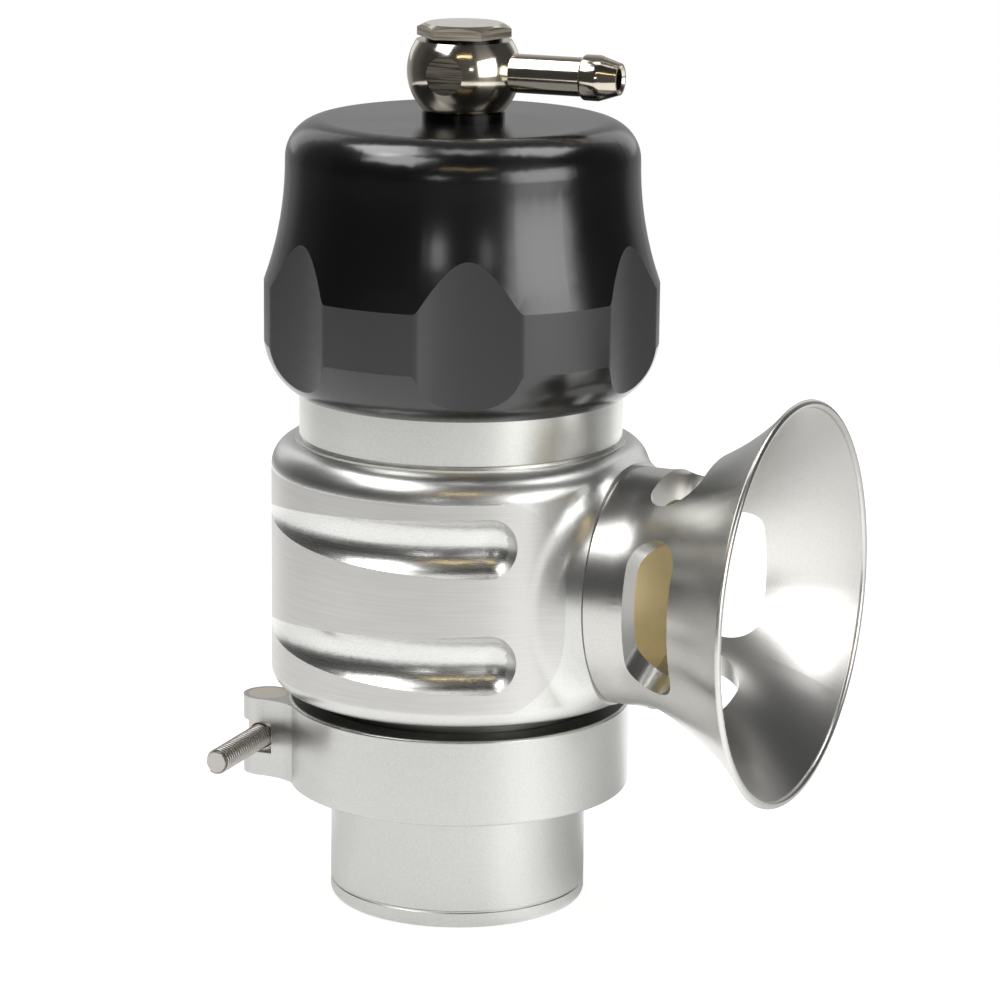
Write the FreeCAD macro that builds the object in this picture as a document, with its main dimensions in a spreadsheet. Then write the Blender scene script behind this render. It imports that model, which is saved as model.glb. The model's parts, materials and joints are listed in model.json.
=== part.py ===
"""Piston blow off valve with weld flange, split clamp, threaded spring cap and trumpet outlet.

Frame: the origin is the centre of the weld tube's lower end, +Z runs up the valve's axis
and +X runs out along the outlet. Lengths are in millimetres and angles in degrees.
"""
import FreeCAD, Part
import math
import os

import Sketcher
from FreeCAD import Placement, Rotation, Vector

# Driving dimensions: alias, value, what it is
DIMENSIONS = [
    # Weld flange
    ("tube_radius", 19.05, "outside of the weld tube, 1.5 inch pipe"),
    ("tube_wall", 3.05, "wall of the weld tube"),
    ("tube_edge_round", 1.2, "rounding of the tube's lower outer edge"),
    ("tube_line_height", 2.4, "turned line round the tube's lower end"),
    ("tube_line_width", 0.3, "width of that line"),
    ("tube_line_depth", 0.15, "depth of that line"),
    ("weld_flange_height", 24.25, "tube's end to the face where flange and body meet"),
    ("flange_neck_step", 2.15, "neck behind each clamping cone, out from the tube"),
    ("weld_neck_height", 2.2, "straight neck under the weld flange's cone"),
    ("flange_cone_run", 2.2, "width of the clamping cone on each flange"),
    ("flange_cone_rise", 0.8, "height of the clamping cone on each flange"),
    ("flange_rim_height", 1.9, "height of each flange's rim"),
    ("seal_groove_wall", 2.0, "wall between the bore and the face seal's groove"),
    ("seal_groove_width", 2.2, "width of the face seal's groove"),
    ("seal_groove_depth", 1.4, "depth of the face seal's groove"),
    ("seal_fit", 0.04, "gap beside the seals in their grooves"),
    # Clamp
    ("clamp_height", 12.9, "height of the clamp ring"),
    ("clamp_wall", 1.67, "wall outside the channel"),
    ("clamp_edge_round", 0.45, "rounding of the clamp ring's edges"),
    ("clamp_fit", 0.05, "gap on the clamping cones"),
    ("clamp_rim_gap", 0.4, "gap round the flange rims"),
    ("clamp_lip_gap", 0.45, "gap round the flange necks"),
    ("lug_azimuth", 183.1, "direction of the clamp's split, from +X"),
    ("lug_standoff", 1.39, "barrels' axes out from the clamp ring"),
    ("lug_spread", 9.72, "each barrel's distance from the split's centre"),
    ("lug_wall", 0.72, "wall of the lug round its barrel"),
    ("lug_height", 11.8, "height of the lugs"),
    ("lug_web_bend", 10.0, "hollow between each lug and the ring"),
    ("split_width", 4.8, "width of the split in the ring"),
    ("barrel_radius", 2.95, "barrel nut and barrel washer"),
    ("barrel_fit", 0.03, "radial gap round the barrels"),
    ("screw_slot_height", 4.7, "screw slot through the lugs"),
    ("slot_root_depth", 0.8, "how far the screw slot reaches into the ring"),
    ("screw_radius", 2.0, "clamp screw's thread in the nut"),
    ("screw_fit", 0.02, "radial gap of the screw in the nut"),
    ("screw_washer_gap", 0.2, "radial gap of the screw in the washer"),
    ("screw_stand_out", 18.15, "threaded end's distance beyond the nut's axis"),
    ("screw_head_radius", 3.4, "socket head"),
    ("screw_head_height", 4.0, "socket head"),
    ("screw_head_gap", 0.3, "gap above and below the head in its slot"),
    ("screw_head_edge", 0.3, "chamfer of the head"),
    ("screw_seat", 2.2, "washer's axis to the flat that the head bears on"),
    ("screw_socket_width", 3.0, "across flats of the socket"),
    ("screw_socket_depth", 2.0, "depth of the socket"),
    ("screw_tip_chamfer", 0.5, "chamfer at the threaded end"),
    # Valve body
    ("seat_width", 2.3, "ledge round the bore that the piston closes on"),
    ("seat_rise", 7.25, "that ledge above the joint with the weld flange"),
    ("body_foot_height", 5.85, "neck between the clamping cone and the body"),
    ("land_under_outlet", 0.53, "outlet boss above the underside of the body"),
    ("land_over_outlet", 1.89, "outlet boss below the top of the shoulder"),
    ("body_bottom_round", 2.84, "rounding of the lower edge"),
    ("shoulder_round", 4.12, "rounding of the shoulder"),
    ("neck_wall", 5.52, "wall of the neck that the cap slides over"),
    ("neck_ledge_width", 0.6, "ledge between the shoulder and the neck"),
    ("neck_ledge_height", 0.3, "that ledge above the shoulder"),
    ("neck_relief_height", 0.5, "undercut at the foot of the neck"),
    ("neck_relief_depth", 0.25, "undercut at the foot of the neck"),
    ("neck_land_height", 10.18, "plain neck between shoulder and thread"),
    ("thread_depth", 0.52, "thread's crest in from the plain neck, left plain"),
    ("thread_length", 9.8, "length of the thread"),
    ("thread_chamfer", 0.5, "lead-in at the neck's upper end"),
    ("outlet_bore", 12.9, "radius of the outlet bore"),
    ("outlet_wall", 4.5, "wall of the outlet boss and the trumpet's neck"),
    ("outlet_face_inset", 0.5, "outlet's face in from the body's radius"),
    ("blend_width", 6.5, "hollow that runs from the body out to the outlet"),
    ("spigot_wall", 2.3, "wall of the spigot that carries the trumpet"),
    ("spigot_length", 3.6, "length of that spigot"),
    ("spigot_groove_width", 1.6, "groove for the outlet seal"),
    ("spigot_groove_depth", 1.0, "groove for the outlet seal"),
    ("grip_groove_drop", 8.16, "lower finger groove under the outlet's axis"),
    ("grip_groove_rise", 8.95, "upper finger groove above the outlet's axis"),
    ("grip_groove_ball", 5.1, "radius of the finger grooves' section"),
    ("grip_groove_depth", 1.5, "depth of the finger grooves beside the valve's axis"),
    ("grip_groove_offset", 1.76, "grooves' own axis back from the valve's, so they run out"),
    ("grip_groove_angle", 36.5, "sweep from beside the axis to the grooves' end centres"),
    # Trumpet
    ("trumpet_neck_length", 4.06, "straight neck next to the body"),
    ("flare_length", 22.01, "end of that neck to the mouth"),
    ("flare_width", 12.185, "how far the flare opens"),
    ("flare_root_length", 4.33, "length of the flare's tighter bend"),
    ("flare_root_rise", 0.69, "how far that bend climbs"),
    ("flare_root_bend", 14.0, "radius of that bend"),
    ("flare_bend", 40.7, "radius of the wide bend to the mouth"),
    ("lip_thickness", 1.24, "wall at the mouth, fully rounded"),
    ("inner_flare_lag", 0.4, "bore's flare starts this far after the outer one"),
    ("inner_root_length", 3.6, "length of the bore's tighter bend"),
    ("inner_root_rise", 0.72, "how far that bend climbs"),
    ("inner_root_bend", 10.0, "radius of that bend"),
    ("inner_flare_bend", 41.5, "radius of the bore's wide bend"),
    ("window_offset", 2.25, "windows' near edge beyond the straight neck"),
    ("window_width", 8.3, "windows' width along the trumpet"),
    ("window_angle", 46.4, "sweep between the windows' end centres"),
    ("trumpet_fit", 0.05, "gap between spigot and trumpet"),
    ("trumpet_edge", 0.25, "broken edge at the joint with the body"),
    # Piston
    ("piston_gap", 0.3, "radial gap between piston and bore"),
    ("piston_lift", 0.25, "piston's underside above the seat"),
    ("piston_height", 40.25, "height of the piston"),
    ("piston_wall", 3.2, "wall of the piston's skirt"),
    ("piston_floor_height", 4.4, "thickness of the piston's floor"),
    ("piston_dish_margin", 3.6, "rim between the recess and the closing seal"),
    ("piston_dish_depth", 1.2, "recess under the piston"),
    ("piston_seal_margin", 0.5, "rim outside the closing seal"),
    ("piston_seal_width", 1.1, "width of the closing seal"),
    ("piston_seal_height", 1.7, "height of the closing seal"),
    ("guide_band_height", 2.5, "height of the guide bands"),
    ("guide_band_thickness", 1.17, "thickness of the guide bands"),
    ("guide_band_run", 0.03, "running gap of bands and lip seal in the bore"),
    ("lower_band_land", 3.15, "piston's underside to the lower guide band"),
    ("upper_band_land", 1.2, "upper guide band to the piston's top"),
    ("lip_seal_land", 1.2, "between the lip seal and the upper guide band"),
    ("lip_seal_height", 2.4, "height of the lip seal"),
    ("lip_seal_width", 2.47, "width of the lip seal"),
    # Spring
    ("spring_radius", 11.2, "mean radius of the coils"),
    ("spring_wire_radius", 1.2, "radius of the wire"),
    ("spring_pitch", 8.4, "rise of each turn"),
    ("thrust_washer_gap", 1.0, "gap between washer and the cap's boss"),
    ("thrust_washer_margin", 1.4, "washer's rim outside the coils"),
    ("thrust_washer_thickness", 1.4, "thickness of the thrust washer"),
    # Cap
    ("cap_fit", 0.05, "running gap between cap and neck"),
    ("cap_travel", 6.0, "how far the cap screws down from where it stands"),
    ("neck_showing_height", 7.34, "shoulder to the cap's lower edge"),
    ("cap_foot_wall", 0.63, "flat of the cap's lower edge"),
    ("cap_foot_flare", 4.48, "how far the cap bulges above that edge"),
    ("cap_foot_height", 7.94, "height of that bulge"),
    ("cap_foot_bend", 9.5, "radius of that bulge"),
    ("cap_band_height", 8.1, "height of the grip band"),
    ("cap_band_bend", 60.0, "radius of the grip band's side"),
    ("cap_side_height", 18.1, "height of the hollow side"),
    ("cap_side_inset", 3.12, "how far the hollow side draws in"),
    ("cap_side_bend", 52.0, "radius of the hollow side"),
    ("cap_top_round", 5.7, "rounding of the top edge"),
    ("cap_seal_rise", 1.34, "groove for the cap's seal above the lower edge"),
    ("cap_seal_height", 2.0, "height of that groove"),
    ("cap_seal_depth", 1.5, "depth of that groove"),
    ("cap_seal_run", 0.03, "running gap between the cap's seal and the neck"),
    ("cap_stop_width", 0.7, "ledge in the cap that stops the piston"),
    ("cap_chamber_taper", 5.9, "height of the chamber's tapered end"),
    ("cap_roof_height", 7.8, "thickness of the cap's top"),
    ("cap_ceiling_margin", 0.6, "ceiling's flat outside the thrust washer"),
    ("cap_boss_wall", 3.6, "wall of the boss that takes the banjo bolt"),
    ("cap_boss_height", 3.4, "height of that boss under the ceiling"),
    ("flute_count", 6.0, "grip flutes round the cap"),
    ("flute_radius", 26.5, "radius of the flutes' hollow"),
    ("flute_depth", 2.08, "depth of the flutes in the grip band"),
    ("flute_edge_round", 2.0, "rounding between each flute and the band"),
    ("cap_band_trim", 0.03, "milled band between the flutes under the turned one"),
    ("flute_azimuth", -62.7, "direction of the first flute"),
    # Banjo fitting and bolt
    ("bolt_radius", 4.0, "banjo bolt's shank"),
    ("bolt_gap", 0.1, "radial gap between the bolt and the banjo"),
    ("crush_washer_width", 1.95, "width of the lower crush washer"),
    ("crush_washer_thickness", 1.1, "thickness of the lower crush washer"),
    ("top_washer_width", 1.5, "width of the upper crush washer"),
    ("top_washer_thickness", 0.5, "thickness of the upper crush washer"),
    ("banjo_radius", 8.25, "ball of the banjo"),
    ("banjo_azimuth", 4.0, "direction of the hose barb"),
    ("banjo_drop", 5.9, "ball's centre to its lower face"),
    ("banjo_rise", 4.45, "ball's centre to its upper face"),
    ("banjo_gallery_width", 1.2, "ring passage round the bolt"),
    ("banjo_gallery_height", 3.8, "ring passage round the bolt"),
    ("banjo_flat_radius", 2.8, "milled flat on the ball"),
    ("barb_tube_radius", 2.8, "hose barb's tube"),
    ("barb_tube_reach", 18.45, "bolt's axis to the barb's ridge"),
    ("barb_ridge_height", 0.5, "how far the ridge stands out"),
    ("barb_ridge_length", 2.4, "length of the ridge's land"),
    ("barb_cone_length", 3.15, "length of the cone to the barb's end"),
    ("barb_cone_drop", 1.0, "how far the cone draws in"),
    ("barb_bore", 1.6, "radius of the passage through the barb"),
    ("barb_countersink", 0.35, "countersink of the passage at the end"),
    ("bolt_hex_width", 12.0, "across flats of the bolt's head"),
    ("bolt_hex_azimuth", 15.9, "direction of a corner of that head"),
    ("bolt_head_height", 1.9, "height of the bolt's head"),
    ("bolt_head_bevel", 0.45, "bevel's start in from the head's flats"),
    ("bolt_passage", 1.6, "radius of the passage up the bolt"),
    ("bolt_port", 1.2, "radius of the cross hole into the ring passage"),
]


class Size:
    """A length or angle together with the sheet expression that gives it."""

    def __init__(self, value, text):
        self.value = value
        self.text = text

    def __add__(self, other):
        other = as_size(other)
        return Size(self.value + other.value, "(%s + %s)" % (self.text, other.text))

    def __radd__(self, other):
        return as_size(other) + self

    def __sub__(self, other):
        other = as_size(other)
        return Size(self.value - other.value, "(%s - %s)" % (self.text, other.text))

    def __rsub__(self, other):
        return as_size(other) - self

    def __mul__(self, other):
        other = as_size(other)
        return Size(self.value * other.value, "(%s * %s)" % (self.text, other.text))

    def __rmul__(self, other):
        return as_size(other) * self

    def __truediv__(self, other):
        other = as_size(other)
        return Size(self.value / other.value, "(%s / %s)" % (self.text, other.text))

    def __neg__(self):
        return Size(-self.value, "(0 - %s)" % self.text)


def as_size(number):
    """Wraps a bare number so that it can stand in a sum with a Size."""
    if isinstance(number, Size):
        return number
    return Size(float(number), "%.6f" % number)


def hypotenuse_leg(long_side, leg):
    """The other leg of a right triangle, as a Size."""
    value = (long_side.value ** 2 - leg.value ** 2) ** 0.5
    return Size(value, "sqrt(%s ^ 2 - %s ^ 2)" % (long_side.text, leg.text))


def root(square):
    """Square root of a Size."""
    return Size(square.value ** 0.5, "sqrt(%s)" % square.text)


def cosine(angle):
    """Cosine of a Size in degrees."""
    return Size(math.cos(math.radians(angle.value)), "cos(%s * 1 deg)" % angle.text)


def sine(angle):
    """Sine of a Size in degrees."""
    return Size(math.sin(math.radians(angle.value)), "sin(%s * 1 deg)" % angle.text)


doc = FreeCAD.newDocument("BlowOffValve")
sheet = doc.addObject("Spreadsheet::Sheet", "Sizes")
for row, (alias, number, note) in enumerate(DIMENSIONS, start=1):
    sheet.set("A%d" % row, alias)
    sheet.set("B%d" % row, str(number))
    sheet.set("C%d" % row, note)
    sheet.setAlias("B%d" % row, alias)
doc.recompute()


class Dimensions:
    """Gives each named cell of the sheet as a Size."""

    def __getattr__(self, alias):
        return Size(float(sheet.get(alias)), "Sizes." + alias)


dim = Dimensions()
ZERO = as_size(0)


# Sketch and body helpers

def new_body(label):
    body = doc.addObject("PartDesign::Body", label)
    body.Label = label
    return body


def new_sketch(body, name, role, turn=None):
    """An empty sketch on one of the body's origin planes, turned about its own vertical axis."""
    sketch = body.newObject("Sketcher::SketchObject", name)
    plane = [item for item in body.Origin.OriginFeatures if item.Role == role][0]
    sketch.AttachmentSupport = [(plane, "")]
    sketch.MapMode = "FlatFace"
    if turn is not None:
        sketch.AttachmentOffset = Placement(Vector(), Rotation(Vector(0, 1, 0), turn.value))
        sketch.setExpression("AttachmentOffset.Rotation.Angle", turn.text)
    return sketch


def drive(sketch, kind, target, size):
    """Adds a dimension to the sketch and binds it to the sheet."""
    index = sketch.addConstraint(Sketcher.Constraint(kind, *target, size.value))
    if size.text.replace(".", "").replace("-", "").isdigit():
        return
    sketch.setExpression("Constraints[%d]" % index, size.text)


def draw_outline(sketch, points):
    """Draws a closed outline.

    Each point is (x, y) or (x, y, radius). A radius bends the edge that ends at that point:
    positive bulges to the right of the direction of travel and negative to the left.
    """
    points = [tuple(as_size(item) for item in point) for point in points]
    spots = [Vector(point[0].value, point[1].value, 0) for point in points]
    edges = []
    for index, point in enumerate(points):
        start = spots[index - 1]
        end = spots[index]
        if len(point) == 2:
            edges.append(sketch.addGeometry(Part.LineSegment(start, end)))
            continue
        radius = point[2].value
        chord = end - start
        across = Vector(chord.y, -chord.x, 0).normalize()
        sag = abs(radius) - (radius ** 2 - (chord.Length / 2) ** 2) ** 0.5
        side = 1 if radius > 0 else -1
        middle = (start + end) * 0.5 + across * (side * sag)
        edges.append(sketch.addGeometry(Part.Arc(start, middle, end)))
    for index, point in enumerate(points):
        tie_corner(sketch, edges, points, index)
    for index, point in enumerate(points):
        if len(point) == 3:
            radius = point[2] if point[2].value > 0 else -point[2]
            drive(sketch, "Radius", (edges[index],), radius)
    return edges


def end_of(sketch, edge, spot):
    """Which end of the edge lies at the spot: 1 for its start and 2 for its end."""
    first = sketch.getPoint(edge, 1)
    second = sketch.getPoint(edge, 2)
    return 1 if first.distanceToPoint(spot) < second.distanceToPoint(spot) else 2


def tie_corner(sketch, edges, points, index):
    """Joins the edges that meet at a corner and places the corner."""
    spot = Vector(points[index][0].value, points[index][1].value, 0)
    edge = edges[index]
    following = edges[(index + 1) % len(edges)]
    corner = end_of(sketch, edge, spot)
    other = end_of(sketch, following, spot)
    sketch.addConstraint(Sketcher.Constraint("Coincident", edge, corner, following, other))
    drive(sketch, "DistanceX", (-1, 1, edge, corner), points[index][0])
    drive(sketch, "DistanceY", (-1, 1, edge, corner), points[index][1])


def draw_circle(sketch, x, y, radius):
    """Draws a circle at (x, y)."""
    x, y, radius = as_size(x), as_size(y), as_size(radius)
    edge = sketch.addGeometry(Part.Circle(Vector(x.value, y.value, 0), Vector(0, 0, 1), radius.value))
    drive(sketch, "DistanceX", (-1, 1, edge, 3), x)
    drive(sketch, "DistanceY", (-1, 1, edge, 3), y)
    drive(sketch, "Radius", (edge,), radius)


def spin(body, kind, name, sketch, axis="V_Axis", angle=None):
    """Revolves a sketch to add or groove material."""
    feature = body.newObject("PartDesign::" + kind, name)
    feature.Profile = sketch
    feature.ReferenceAxis = (sketch, [axis])
    feature.Angle = 360
    if angle is not None:
        feature.Midplane = True
        feature.Angle = angle.value
        feature.setExpression("Angle", angle.text)
    doc.recompute()
    return feature


def push(body, kind, name, sketch, length, both_sides=False, reverse=False):
    """Pads or pockets a sketch by a length, on one side of its plane or on both."""
    feature = body.newObject("PartDesign::" + kind, name)
    feature.Profile = sketch
    feature.Length = length.value
    feature.setExpression("Length", length.text)
    feature.SideType = "Symmetric" if both_sides else "One side"
    feature.Reversed = reverse
    doc.recompute()
    return feature


def turned(label, points, role="XZ_Plane"):
    """A body that is one turned outline: each point is (radius, height)."""
    body = new_body(label)
    sketch = new_sketch(body, label + "_outline", role)
    draw_outline(sketch, points)
    spin(body, "Revolution", label + "_turned", sketch)
    return body


def repeat_round(body, name, features, count, axis_role="Z_Axis"):
    """Repeats features round an axis of the body."""
    axis = [item for item in body.Origin.OriginFeatures if item.Role == axis_role][0]
    pattern = body.newObject("PartDesign::PolarPattern", name)
    pattern.Originals = features
    pattern.Axis = (axis, [""])
    pattern.Angle = 360
    pattern.Occurrences = int(round(count.value))
    pattern.setExpression("Occurrences", count.text)
    body.Tip = pattern
    doc.recompute()
    return pattern


def mirror_across(body, name, features, role):
    """Mirrors features in one of the body's origin planes."""
    plane = [item for item in body.Origin.OriginFeatures if item.Role == role][0]
    mirrored = body.newObject("PartDesign::Mirrored", name)
    mirrored.Originals = features
    mirrored.MirrorPlane = (plane, [""])
    body.Tip = mirrored
    doc.recompute()
    return mirrored


def place(body, height=None, azimuth=None, lay_down=False):
    """Lifts a body to a height and turns it about Z, or lays its own Z along +X."""
    if lay_down:
        body.Placement = Placement(Vector(), Rotation(Vector(0, 1, 0), 90))
    if azimuth is not None:
        body.Placement = Placement(Vector(), Rotation(Vector(0, 0, 1), azimuth.value))
        body.setExpression("Placement.Rotation.Angle", azimuth.text)
    if height is not None:
        body.Placement.Base.z = height.value
        body.setExpression("Placement.Base.z", height.text)


# Heights and radii that several pieces share

throat_radius = dim.tube_radius - dim.tube_wall
flange_neck_radius = dim.tube_radius + dim.flange_neck_step
flange_radius = flange_neck_radius + dim.flange_cone_run
joint_height = dim.weld_flange_height
lower_rim_bottom = joint_height - dim.flange_rim_height
lower_cone_bottom = lower_rim_bottom - dim.flange_cone_rise
weld_neck_bottom = lower_cone_bottom - dim.weld_neck_height
upper_rim_top = joint_height + dim.flange_rim_height
upper_cone_top = upper_rim_top + dim.flange_cone_rise
seal_groove_inner = throat_radius + dim.seal_groove_wall
seal_groove_outer = seal_groove_inner + dim.seal_groove_width

clamp_floor_radius = flange_radius + dim.clamp_rim_gap
clamp_radius = clamp_floor_radius + dim.clamp_wall
lug_reach = clamp_radius + dim.lug_standoff
lug_end_radius = dim.barrel_radius + dim.barrel_fit + dim.lug_wall
head_slot_height = (dim.screw_head_radius + dim.screw_head_gap) * 2
slot_root = clamp_radius - dim.slot_root_depth
screw_end = dim.lug_spread + dim.screw_stand_out

seat_height = joint_height + dim.seat_rise
bore_radius = throat_radius + dim.seat_width
neck_radius = bore_radius + dim.neck_wall
body_radius = neck_radius + dim.shoulder_round
body_bottom = upper_cone_top + dim.body_foot_height
boss_radius = dim.outlet_bore + dim.outlet_wall
outlet_height = body_bottom + dim.land_under_outlet + boss_radius
shoulder_height = outlet_height + boss_radius + dim.land_over_outlet
thread_start = shoulder_height + dim.neck_land_height
thread_radius = neck_radius - dim.thread_depth
neck_top = thread_start + dim.thread_length

boss_reach = body_radius - dim.outlet_face_inset
spigot_radius = dim.outlet_bore + dim.spigot_wall
spigot_end = boss_reach + dim.spigot_length
spigot_groove_end = spigot_end - (dim.spigot_length - dim.spigot_groove_width) / 2
spigot_groove_start = spigot_groove_end - dim.spigot_groove_width
spigot_groove_floor = spigot_radius - dim.spigot_groove_depth
flare_start = boss_reach + dim.trumpet_neck_length
mouth_reach = flare_start + dim.flare_length
mouth_radius = boss_radius + dim.flare_width
inner_flare_start = flare_start + dim.inner_flare_lag
window_centre = flare_start + dim.window_offset + dim.window_width / 2
grip_groove_lower = outlet_height - dim.grip_groove_drop
grip_groove_upper = outlet_height + dim.grip_groove_rise

piston_radius = bore_radius - dim.piston_gap
piston_bottom = seat_height + dim.piston_lift
piston_top = piston_bottom + dim.piston_height
piston_floor_top = piston_bottom + dim.piston_floor_height
piston_bore = piston_radius - dim.piston_wall
piston_seal_outer = piston_radius - dim.piston_seal_margin
piston_seal_inner = piston_seal_outer - dim.piston_seal_width
piston_seal_top = seat_height + dim.piston_seal_height
piston_dish_radius = piston_seal_inner - dim.piston_dish_margin
band_outer = bore_radius - dim.guide_band_run
band_floor = band_outer - dim.guide_band_thickness
lower_band_bottom = piston_bottom + dim.lower_band_land
lower_band_top = lower_band_bottom + dim.guide_band_height
upper_band_top = piston_top - dim.upper_band_land
upper_band_bottom = upper_band_top - dim.guide_band_height
lip_seal_top = upper_band_bottom - dim.lip_seal_land
lip_seal_bottom = lip_seal_top - dim.lip_seal_height
lip_seal_floor = band_outer - dim.lip_seal_width

cap_skirt_radius = neck_radius + dim.cap_fit
cap_skirt_top = thread_start + dim.cap_travel + dim.cap_fit
cap_step = neck_top + dim.cap_travel + dim.cap_fit
cap_bottom = shoulder_height + dim.neck_showing_height
cap_foot_radius = cap_skirt_radius + dim.cap_foot_wall
cap_band_radius = cap_foot_radius + dim.cap_foot_flare
cap_band_bottom = cap_bottom + dim.cap_foot_height
cap_band_top = cap_band_bottom + dim.cap_band_height
cap_side_radius = cap_band_radius - dim.cap_side_inset
cap_side_top = cap_band_top + dim.cap_side_height
cap_top = cap_side_top + dim.cap_top_round
cap_seal_bottom = cap_bottom + dim.cap_seal_rise
cap_seal_top = cap_seal_bottom + dim.cap_seal_height
cap_seal_floor = cap_skirt_radius + dim.cap_seal_depth
cap_chamber_radius = piston_radius - dim.cap_stop_width
cap_ceiling = cap_top - dim.cap_roof_height
cap_chamber_side = cap_ceiling - dim.cap_chamber_taper
cap_boss_radius = dim.bolt_radius + dim.cap_boss_wall
cap_boss_bottom = cap_ceiling - dim.cap_boss_height
washer_bottom = cap_ceiling - dim.thrust_washer_thickness
washer_inner = cap_boss_radius + dim.thrust_washer_gap
washer_outer = dim.spring_radius + dim.spring_wire_radius + dim.thrust_washer_margin
cap_ceiling_radius = washer_outer + dim.cap_ceiling_margin
flute_floor = cap_band_radius - dim.flute_depth

banjo_bottom = cap_top + dim.crush_washer_thickness
banjo_height = banjo_bottom + dim.banjo_drop
banjo_top = banjo_height + dim.banjo_rise
banjo_bore = dim.bolt_radius + dim.bolt_gap
gallery_radius = banjo_bore + dim.banjo_gallery_width
lower_washer_radius = banjo_bore + dim.crush_washer_width
upper_washer_radius = banjo_bore + dim.top_washer_width
barb_radius = dim.barb_tube_radius + dim.barb_ridge_height
barb_land = dim.barb_tube_reach + dim.barb_ridge_length
barb_tip = barb_land + dim.barb_cone_length
barb_tip_radius = barb_radius - dim.barb_cone_drop
bolt_head_bottom = banjo_top + dim.top_washer_thickness


def ring(label, inner, outer, bottom, top):
    """A plain turned ring of rectangular section."""
    return turned(label, [(inner, bottom), (outer, bottom), (outer, top), (inner, top)])


def o_ring(label, inner, outer, bottom, top):
    """A squeezed O-ring: a rectangle that its groove has left with four full corners."""
    width = outer - inner
    height = top - bottom
    bend = (width if width.value < height.value else height) * 0.45
    return turned(label, [
        (inner + bend, bottom, bend),
        (outer - bend, bottom),
        (outer, bottom + bend, bend),
        (outer, top - bend),
        (outer - bend, top, bend),
        (inner + bend, top),
        (inner, top - bend, bend),
        (inner, bottom + bend),
    ])


def make_weld_flange():
    line_radius = dim.tube_radius - dim.tube_line_depth
    cone_foot = weld_neck_bottom - (flange_neck_radius - dim.tube_radius)
    turned("weld_flange", [
        (throat_radius, ZERO),
        (dim.tube_radius - dim.tube_edge_round, ZERO),
        (dim.tube_radius, dim.tube_edge_round, dim.tube_edge_round),
        (dim.tube_radius, dim.tube_line_height),
        (line_radius, dim.tube_line_height + dim.tube_line_depth),
        (line_radius, dim.tube_line_height + dim.tube_line_width),
        (dim.tube_radius, dim.tube_line_height + dim.tube_line_width + dim.tube_line_depth),
        (dim.tube_radius, cone_foot),
        (flange_neck_radius, weld_neck_bottom),
        (flange_neck_radius, lower_cone_bottom),
        (flange_radius, lower_rim_bottom),
        (flange_radius, joint_height),
        (seal_groove_outer, joint_height),
        (seal_groove_outer, joint_height - dim.seal_groove_depth),
        (seal_groove_inner, joint_height - dim.seal_groove_depth),
        (seal_groove_inner, joint_height),
        (throat_radius, joint_height),
    ])
    o_ring("flange_o_ring", seal_groove_inner + dim.seal_fit, seal_groove_outer - dim.seal_fit,
           joint_height - dim.seal_groove_depth, joint_height)


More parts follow.
